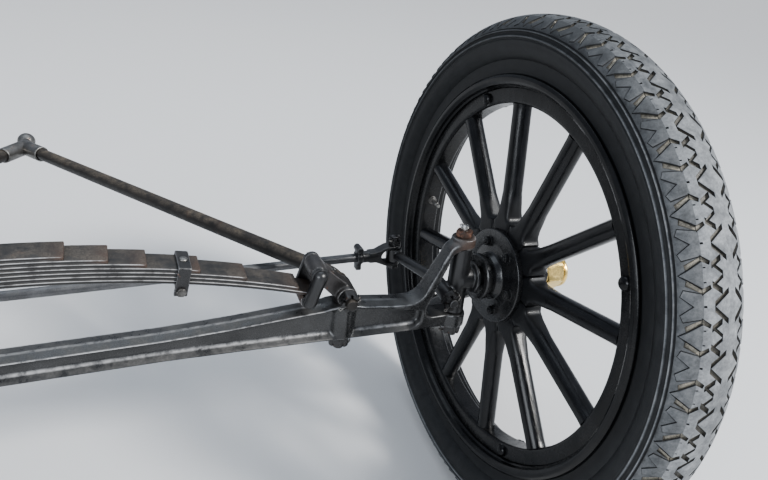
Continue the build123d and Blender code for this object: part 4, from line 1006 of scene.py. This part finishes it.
# ---------------------------------------------------------------------------
# surfaces
# ---------------------------------------------------------------------------
class Surface:
    """Node material made of noise layers in the part's own space."""

    def __init__(self, name):
        self.m = bpy.data.materials.new(name)
        self.m.use_nodes = True
        self.t = self.m.node_tree
        self.b = self.t.nodes["Principled BSDF"]
        self.co = self.t.nodes.new("ShaderNodeTexCoord").outputs["Object"]
        self.geo = self.t.nodes.new("ShaderNodeNewGeometry")

    def join(self, a, b):
        self.t.links.new(a, b)

    def attribute(self, name):
        n = self.t.nodes.new("ShaderNodeAttribute")
        n.attribute_name = name
        return n.outputs["Fac"]

    def vector(self, x, y, z):
        n = self.t.nodes.new("ShaderNodeCombineXYZ")
        for i, v in enumerate((x, y, z)):
            self.join(v, n.inputs[i])
        return n.outputs[0]

    def noise(self, scale, detail=4.0, rough=0.55, co=None, twist=0.0):
        n = self.t.nodes.new("ShaderNodeTexNoise")
        n.inputs["Scale"].default_value = scale
        n.inputs["Detail"].default_value = detail
        n.inputs["Roughness"].default_value = rough
        n.inputs["Distortion"].default_value = twist
        self.join(co or self.co, n.inputs["Vector"])
        return n.outputs["Fac"]

    def fit(self, v, a, b, c=0.0, d=1.0):
        n = self.t.nodes.new("ShaderNodeMapRange")
        n.clamp = True
        for i, q in zip((1, 2, 3, 4), (a, b, c, d)):
            n.inputs[i].default_value = q
        self.join(v, n.inputs[0])
        return n.outputs[0]

    def calc(self, op, a, b):
        n = self.t.nodes.new("ShaderNodeMath")
        n.operation = op
        n.use_clamp = op in ("MULTIPLY", "MAXIMUM")
        for i, q in enumerate((a, b)):
            if isinstance(q, (int, float)):
                n.inputs[i].default_value = q
            else:
                self.join(q, n.inputs[i])
        return n.outputs[0]

    def ramp(self, v, stops):
        n = self.t.nodes.new("ShaderNodeValToRGB")
        e = n.color_ramp.elements
        while len(e) < len(stops):
            e.new(0.5)
        for q, (at, c) in zip(e, stops):
            q.position = at
            q.color = (*c, 1)
        self.join(v, n.inputs[0])
        return n.outputs[0]

    def blend(self, f, a, b):
        n = self.t.nodes.new("ShaderNodeMix")
        n.data_type = "RGBA"
        self.join(f, n.inputs["Factor"])
        for i, q in ((6, a), (7, b)):
            if isinstance(q, tuple):
                n.inputs[i].default_value = (*q, 1)
            else:
                self.join(q, n.inputs[i])
        return n.outputs[2]

    def slide(self, f, a, b):
        n = self.t.nodes.new("ShaderNodeMix")
        n.data_type = "FLOAT"
        self.join(f, n.inputs["Factor"])
        for i, q in ((2, a), (3, b)):
            if isinstance(q, (int, float)):
                n.inputs[i].default_value = q
            else:
                self.join(q, n.inputs[i])
        return n.outputs[0]

    def bump(self, height, distance, strength=1.0, under=None):
        n = self.t.nodes.new("ShaderNodeBump")
        n.inputs["Strength"].default_value = strength
        n.inputs["Distance"].default_value = distance
        self.join(height, n.inputs["Height"])
        if under:
            self.join(under, n.inputs["Normal"])
        return n.outputs[0]

    def up(self):
        n = self.t.nodes.new("ShaderNodeSeparateXYZ")
        self.join(self.geo.outputs["Normal"], n.inputs[0])
        return n.outputs[2]


def surface(name, colours, rough, metallic=0.0, coat=0.0, patch=22.0, grain=900.0, depth=0.00008, lumps=0.0, dust=0.0, dust_colours=((0.05, 0.043, 0.036), (0.115, 0.10, 0.083)),
            rust=0.0, rust_colours=((0.055, 0.024, 0.014), (0.15, 0.068, 0.038)), rim=0.0, rim_colour=(0.30, 0.30, 0.305), tip=0.0, specular=0.5, sky=True, spots=()):
    q = Surface(name)
    broad, fine, mid = q.noise(patch, 6.0, 0.6), q.noise(grain, 3.0, 0.6), q.noise(patch * 6.0, 5.0, 0.62)
    mixed = q.calc("ADD", q.calc("MULTIPLY", broad, 0.62), q.calc("MULTIPLY", fine, 0.38))
    colour = q.ramp(mixed, [(0.36, colours[0]), (0.62, colours[1])])
    roughness = q.fit(q.calc("ADD", q.calc("MULTIPLY", mid, 0.7), q.calc("MULTIPLY", fine, 0.3)), 0.34, 0.66, rough[0], rough[1])
    masks = []
    if rust or tip or spots:
        wild = q.noise(patch * 1.9, 9.0, 0.68, twist=0.4)
        r = q.fit(wild, 0.66 - 0.26 * rust, 0.74 - 0.20 * rust) if rust else None
        if tip:
            more = q.calc("MULTIPLY", q.attribute("tip"), q.fit(wild, 0.38, 0.56, 0.25, tip))
            r = q.calc("MAXIMUM", r, more) if r else more
        for (x, y, z), near, far, strength in spots:
            # a stain round one place, the same on both sides
            sep = q.t.nodes.new("ShaderNodeSeparateXYZ")
            q.join(q.co, sep.inputs[0])
            away = q.t.nodes.new("ShaderNodeVectorMath")
            away.operation = "DISTANCE"
            q.join(q.vector(q.calc("ABSOLUTE", sep.outputs[0], 0.0), sep.outputs[1], sep.outputs[2]), away.inputs[0])
            away.inputs[1].default_value = (x, y, z)
            ragged = q.calc("ADD", away.outputs["Value"], q.fit(wild, 0.3, 0.7, 0.012, -0.012))
            more = q.fit(ragged, near, far, strength, 0.0)
            r = q.calc("MAXIMUM", r, more) if r else more
        colour = q.blend(r, colour, q.ramp(fine, [(0.3, rust_colours[0]), (0.7, rust_colours[1])]))
        roughness = q.slide(r, roughness, 0.78)
        masks.append(r)
    if dust:
        cover = q.fit(q.noise(48.0, 8.0, 0.68), 0.40, 0.62, 0.12, 1.0)
        cover = q.calc("MULTIPLY", cover, q.fit(q.up(), 0.3, 0.92) if sky else q.fit(broad, 0.40, 0.60))
        cover = q.calc("MULTIPLY", cover, dust)
        colour = q.blend(cover, colour, q.ramp(q.noise(520.0, 5.0, 0.65), [(0.35, dust_colours[0]), (0.65, dust_colours[1])]))
        roughness = q.slide(cover, roughness, 0.85)
        masks.append(cover)
    # rim: lighter, smoother paint along marked corners: worn paint together with a painted highlight
    if rim:
        wear_and_highlight = q.calc("MULTIPLY", q.attribute("rim"), q.fit(mid, 0.36, 0.58, 0.35 * rim, rim))
        colour = q.blend(wear_and_highlight, colour, rim_colour)
        roughness = q.slide(wear_and_highlight, roughness, 0.22)
    q.join(colour, q.b.inputs["Base Color"])
    q.join(roughness, q.b.inputs["Roughness"])
    if metallic and masks:
        cover = masks[0]
        for m in masks[1:]:
            cover = q.calc("MAXIMUM", cover, m)
        q.join(q.slide(cover, metallic, 0.0), q.b.inputs["Metallic"])
    else:
        q.b.inputs["Metallic"].default_value = metallic
    q.b.inputs["Coat Weight"].default_value = coat
    q.b.inputs["Coat Roughness"].default_value = 0.08
    q.b.inputs["Specular IOR Level"].default_value = specular
    normal = q.bump(fine, depth)
    if lumps:
        normal = q.bump(mid, lumps, 1.0, normal)
    q.join(normal, q.b.inputs["Normal"])
    return q.m


def spoke_paint():
    q = Surface("painted_spoke_wood")
    lie = q.vector(q.attribute("along"), q.attribute("over"), q.attribute("through"))
    brush = q.noise(0.55, 6.0, 0.62, lie)
    broad, fine = q.noise(26.0, 6.0, 0.6), q.noise(1100.0, 2.0, 0.5)
    q.join(q.ramp(q.calc("ADD", q.calc("MULTIPLY", brush, 0.6), q.calc("MULTIPLY", broad, 0.4)), [(0.38, (0.0042, 0.0044, 0.005)), (0.62, (0.011, 0.0115, 0.013))]), q.b.inputs["Base Color"])
    shine = q.fit(q.calc("ADD", q.calc("MULTIPLY", brush, 0.5), q.calc("MULTIPLY", broad, 0.5)), 0.36, 0.64, 0.13, 0.30)
    # duller in the crotches round the hub, on either wheel
    sep = q.t.nodes.new("ShaderNodeSeparateXYZ")
    q.join(q.co, sep.inputs[0])
    away = q.t.nodes.new("ShaderNodeVectorMath")
    away.operation = "DISTANCE"
    q.join(q.vector(q.calc("ABSOLUTE", sep.outputs[0], 0.0), sep.outputs[1], sep.outputs[2]), away.inputs[0])
    away.inputs[1].default_value = (0.711, 0.0, WZ * MM)
    q.join(q.calc("MAXIMUM", shine, q.fit(away.outputs["Value"], 0.112, 0.145, 0.46, 0.0)), q.b.inputs["Roughness"])
    q.b.inputs["Coat Weight"].default_value = 0.1
    q.b.inputs["Specular IOR Level"].default_value = 0.30
    q.b.inputs["Coat Roughness"].default_value = 0.07
    q.join(q.bump(fine, 0.00002, 1.0, q.bump(brush, 0.00035)), q.b.inputs["Normal"])
    return q.m


def rubber():
    q = Surface("worn_tyre_rubber")
    dust, mud_and_lit_channel = q.attribute("dust"), q.attribute("mud_and_lit_channel")
    broad, mid, fine, speck = q.noise(9.0, 5.0, 0.6), q.noise(60.0, 6.0, 0.65), q.noise(800.0, 3.0, 0.6), q.noise(330.0, 7.0, 0.7)
    black = q.ramp(q.calc("ADD", q.calc("MULTIPLY", mid, 0.6), q.calc("MULTIPLY", fine, 0.4)), [(0.36, (0.0105, 0.0110, 0.0118)), (0.64, (0.0180, 0.0187, 0.0198))])
    grey = q.ramp(q.calc("ADD", q.calc("MULTIPLY", speck, 0.55), q.calc("MULTIPLY", mid, 0.45)), [(0.34, (0.150, 0.156, 0.163)), (0.50, (0.225, 0.233, 0.241)), (0.68, (0.320, 0.327, 0.332))])
    # painted shade: the tread's dust is strongest over its front and lower part and weaker over its top and rear, which
    # stand darker as if shaded from above and behind
    sep = q.t.nodes.new("ShaderNodeSeparateXYZ")
    q.join(q.co, sep.inputs[0])
    low = q.calc("ADD", q.calc("ADD", q.fit(sep.outputs[1], -0.5, 0.5, 0.425, -0.425), q.fit(sep.outputs[2], -0.6, 0.4, 0.24, -0.26)), q.fit(mid, 0.3, 0.7, -0.05, 0.05))
    dust = q.calc("MULTIPLY", dust, q.fit(low, -0.16, 0.14, 0.40, 1.0))
    amount = q.calc("MULTIPLY", dust, q.fit(q.calc("ADD", q.calc("MULTIPLY", mid, 0.5), q.calc("MULTIPLY", broad, 0.5)), 0.36, 0.56, 0.62, 1.0))
    colour = q.blend(amount, black, grey)
    # light mud in the deep grooves and the shoulder channel; the channel's share is a painted highlight
    mud_and_lit_channel_cover = q.calc("MULTIPLY", mud_and_lit_channel, q.fit(q.calc("ADD", q.calc("MULTIPLY", speck, 0.5), q.calc("MULTIPLY", mid, 0.5)), 0.38, 0.54, 0.35, 1.0))
    colour = q.blend(mud_and_lit_channel_cover, colour, q.ramp(fine, [(0.3, (0.27, 0.245, 0.20)), (0.7, (0.47, 0.44, 0.375))]))
    q.join(colour, q.b.inputs["Base Color"])
    q.join(q.fit(q.calc("ADD", amount, q.calc("MULTIPLY", mid, 0.35)), 0.1, 1.1, 0.44, 0.86), q.b.inputs["Roughness"])
    q.b.inputs["Specular IOR Level"].default_value = 0.24
    q.join(q.bump(fine, 0.00010, 1.0, q.bump(mid, 0.0003, 0.5)), q.b.inputs["Normal"])
    return q.m


KING_TOP = ((0.621, -0.006, (KZ + 60.0) * MM), 0.014, 0.028, 0.42)
RUSTY_IRON = ((0.075, 0.042, 0.030), (0.20, 0.125, 0.09))
forged = surface("black_forged_steel", ((0.011, 0.0112, 0.0118), (0.034, 0.0345, 0.0355)), (0.17, 0.36), patch=16.0, grain=650.0, depth=0.00010, lumps=0.0003, dust=0.5, rust_colours=RUSTY_IRON, dust_colours=((0.058, 0.057, 0.054), (0.155, 0.152, 0.144)), rim=1.0, rim_colour=(0.42, 0.42, 0.425), specular=0.7, spots=[KING_TOP])
perch_mat = surface("black_forged_steel_brown", ((0.010, 0.0096, 0.0097), (0.034, 0.031, 0.031)), (0.26, 0.42), patch=34.0, grain=650.0, depth=0.00010, lumps=0.0004, dust=0.16, rust=0.2, rim=0.8, rim_colour=(0.34, 0.335, 0.33), specular=0.62)
leaf_mat = surface("spring_leaf_steel", ((0.0085, 0.0085, 0.009), (0.023, 0.022, 0.021)), (0.24, 0.46), patch=13.0, grain=700.0, depth=0.00010, lumps=0.0002, dust=0.7, dust_colours=((0.042, 0.036, 0.030), (0.12, 0.105, 0.09)), rust=0.08,
                   rust_colours=((0.055, 0.030, 0.020), (0.145, 0.085, 0.058)), tip=0.55, rim=1.0, rim_colour=(0.46, 0.46, 0.465), specular=0.5)
rod_mat = surface("radius_rod_old_paint", ((0.0085, 0.008, 0.0078), (0.026, 0.023, 0.0205)), (0.30, 0.56), patch=15.0, grain=600.0, depth=0.00012, lumps=0.0004, dust=0.95, dust_colours=((0.05, 0.042, 0.034), (0.15, 0.125, 0.098)), rust=0.22,
                  rust_colours=((0.035, 0.021, 0.014), (0.09, 0.052, 0.034)), specular=0.42)
gloss = surface("black_enamel_gloss", ((0.0042, 0.0043, 0.0048), (0.0105, 0.011, 0.012)), (0.14, 0.28), coat=0.05, patch=20.0, grain=900.0, depth=0.00003, lumps=0.00015, dust=0.06, sky=False, specular=0.28)
# painted light: a lighter copy of the black enamel for the hub, brightening it where it sits in shade
gloss_hub_lightened = surface("black_enamel_hub_lightened", ((0.0075, 0.0077, 0.0084), (0.018, 0.0185, 0.020)), (0.18, 0.32), coat=0.0, patch=24.0, grain=900.0, depth=0.00003, lumps=0.00015, dust=0.10, sky=False, specular=0.6)
gloss_fixed = surface("black_enamel_steering", ((0.0062, 0.0064, 0.0070), (0.0175, 0.018, 0.0195)), (0.27, 0.42), coat=0.0, patch=24.0, grain=800.0, depth=0.00004, lumps=0.0002, dust=0.16, rim=0.4, specular=0.75)
tie_mat = surface("tie_rod_worn_enamel", ((0.060, 0.061, 0.064), (0.16, 0.162, 0.168)), (0.28, 0.42), metallic=0.55, patch=30.0, grain=800.0, depth=0.00006, lumps=0.0002, dust=0.4, dust_colours=((0.09, 0.088, 0.086), (0.21, 0.208, 0.204)), specular=0.9)
felloe_mat = surface("painted_felloe_wood", ((0.0045, 0.0046, 0.005), (0.0115, 0.012, 0.013)), (0.16, 0.32), coat=0.05, patch=14.0, grain=700.0, depth=0.00004, lumps=0.0003, dust=0.07, sky=False, specular=0.26)
rusty = surface("king_bolt_rusty", ((0.03, 0.022, 0.019), (0.09, 0.05, 0.036)), (0.45, 0.72), patch=60.0, grain=900.0, depth=0.00012, lumps=0.0002, rust=0.6, rust_colours=((0.09, 0.044, 0.03), (0.25, 0.135, 0.09)))
nut_mat = surface("black_nut_steel", ((0.0075, 0.0075, 0.008), (0.020, 0.020, 0.021)), (0.18, 0.38), patch=60.0, grain=900.0, depth=0.00006, rim=0.5, dust=0.2, rust=0.12, specular=0.6)
bright = surface("bare_steel_bright", ((0.30, 0.29, 0.28), (0.58, 0.57, 0.55)), (0.22, 0.42), metallic=1.0, patch=70.0, grain=1100.0, depth=0.00005, rust=0.14)
dull = surface("bare_steel_dull", ((0.10, 0.097, 0.093), (0.27, 0.265, 0.255)), (0.32, 0.55), metallic=1.0, patch=40.0, grain=900.0, depth=0.00008, rust=0.26, dust=0.2)
brass = surface("hub_cap_brass", ((0.80, 0.57, 0.21), (0.91, 0.70, 0.31)), (0.14, 0.26), metallic=1.0, patch=24.0, grain=1200.0, depth=0.00003, dust=0.06, dust_colours=((0.10, 0.06, 0.022), (0.20, 0.13, 0.05)), sky=False)
spoke_mat, rubber_mat = spoke_paint(), rubber()

LOOK = [
    ("tyre_tread", rubber_mat, "tyre_rubber"), ("spokes_round", spoke_mat, "black_wood"), ("felloe_turned", felloe_mat, "black_wood"), ("felloe_bolts", gloss, "black_enamel"),
    ("rim_rolled", gloss, "black_enamel"), ("hub_turned", gloss_hub_lightened, "black_enamel"), ("hub_plate", gloss_hub_lightened, "black_enamel"), ("hub_bolts", gloss_hub_lightened, "black_enamel"), ("hub_cap", brass, "brass"), ("tyre_valve", dull, "bare_steel"),
    ("axle_forging", forged, "black_steel"), ("axle_nuts", nut_mat, "black_steel"), ("arm_nut", nut_mat, "black_steel"), ("pin_nut", nut_mat, "black_steel"), ("pin_turned", nut_mat, "black_steel"),
    ("axle_cotters", dull, "bare_steel"), ("arm_cotter", dull, "bare_steel"), ("pin_cotter", dull, "bare_steel"), ("king_oiler", bright, "bare_steel"), ("king_bolt", rusty, "black_steel"),
    ("perch_forging", perch_mat, "black_steel"), ("perch_oiler", dull, "bare_steel"), ("shackle_collars", gloss_fixed, "black_enamel"), ("shackle_forging", gloss_fixed, "black_enamel"), ("knuckle_forging", gloss_fixed, "black_enamel"), ("yoke_forging", gloss_fixed, "black_enamel"),
    ("steering_arm_forging", gloss_fixed, "black_enamel"), ("tie_rod_bar", tie_mat, "black_enamel"), ("clip_bent", nut_mat, "black_steel"), ("clip_fixings", dull, "bare_steel"),
    ("radius_rod_tube", rod_mat, "black_steel"), ("radius_rod_ball", dull, "bare_steel"), ("spring_leaf", leaf_mat, "spring_steel"), ("centre_bolt", nut_mat, "black_steel"),
]
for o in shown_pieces():
    for key, mat, slot in LOOK:
        if o.name.startswith(key):
            o.data.materials.clear()
            o.data.materials.append(mat)
            break
    else:
        print("NO LOOK", o.name)

# ---------------------------------------------------------------------------
# studio
# ---------------------------------------------------------------------------
lo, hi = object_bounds()
me = bpy.data.meshes.new("floor")
z = lo.z
me.from_pydata([(-200, -200, z), (200, -200, z), (200, 200, z), (-200, 200, z)], [], [(0, 1, 2, 3)])
floor = bpy.data.objects.new("floor", me)
bpy.context.scene.collection.objects.link(floor)
mat = bpy.data.materials.new("floor")
mat.use_nodes = True
mat.node_tree.nodes["Principled BSDF"].inputs["Base Color"].default_value = (0.62, 0.62, 0.62, 1)
mat.node_tree.nodes["Principled BSDF"].inputs["Roughness"].default_value = 0.85
floor.data.materials.append(mat)


def area(name, loc, size, power, target=(0.5, 0, -0.05), colour=(1, 1, 1)):
    l = bpy.data.lights.new(name, "AREA")
    l.shape = "RECTANGLE"
    l.size, l.size_y = size
    l.energy = power
    l.color = colour
    o = bpy.data.objects.new(name, l)
    bpy.context.scene.collection.objects.link(o)
    o.location = loc
    d = Vector(target) - Vector(loc)
    o.rotation_euler = d.to_track_quat("-Z", "Y").to_euler()


sun = bpy.data.lights.new("key", "SUN")
sun.energy = 3.1
sun.angle = math.radians(12)
sun.color = (1.0, 0.98, 0.95)
suno = bpy.data.objects.new("key", sun)
bpy.context.scene.collection.objects.link(suno)
suno.rotation_euler = Vector((-0.62, 0.62, -0.72)).to_track_quat("-Z", "Y").to_euler()
area("overhead", (0.6, 1.4, 3.0), (3.5, 2.4), 38, colour=(0.84, 0.92, 1.0))
area("side", (2.6, -1.0, 1.4), (0.9, 1.8), 36, colour=(0.95, 0.98, 1.0))
area("fill", (-2.6, -2.2, 1.6), (2.5, 2.0), 95, colour=(0.92, 0.96, 1.0))
w = bpy.data.worlds.new("world")
bpy.context.scene.world = w
bpy.context.scene.view_settings.look = "AgX - Medium High Contrast"
w.use_nodes = True
w.node_tree.nodes["Background"].inputs[0].default_value = (0.78, 0.86, 1.0, 1)
w.node_tree.nodes["Background"].inputs[1].default_value = 0.45
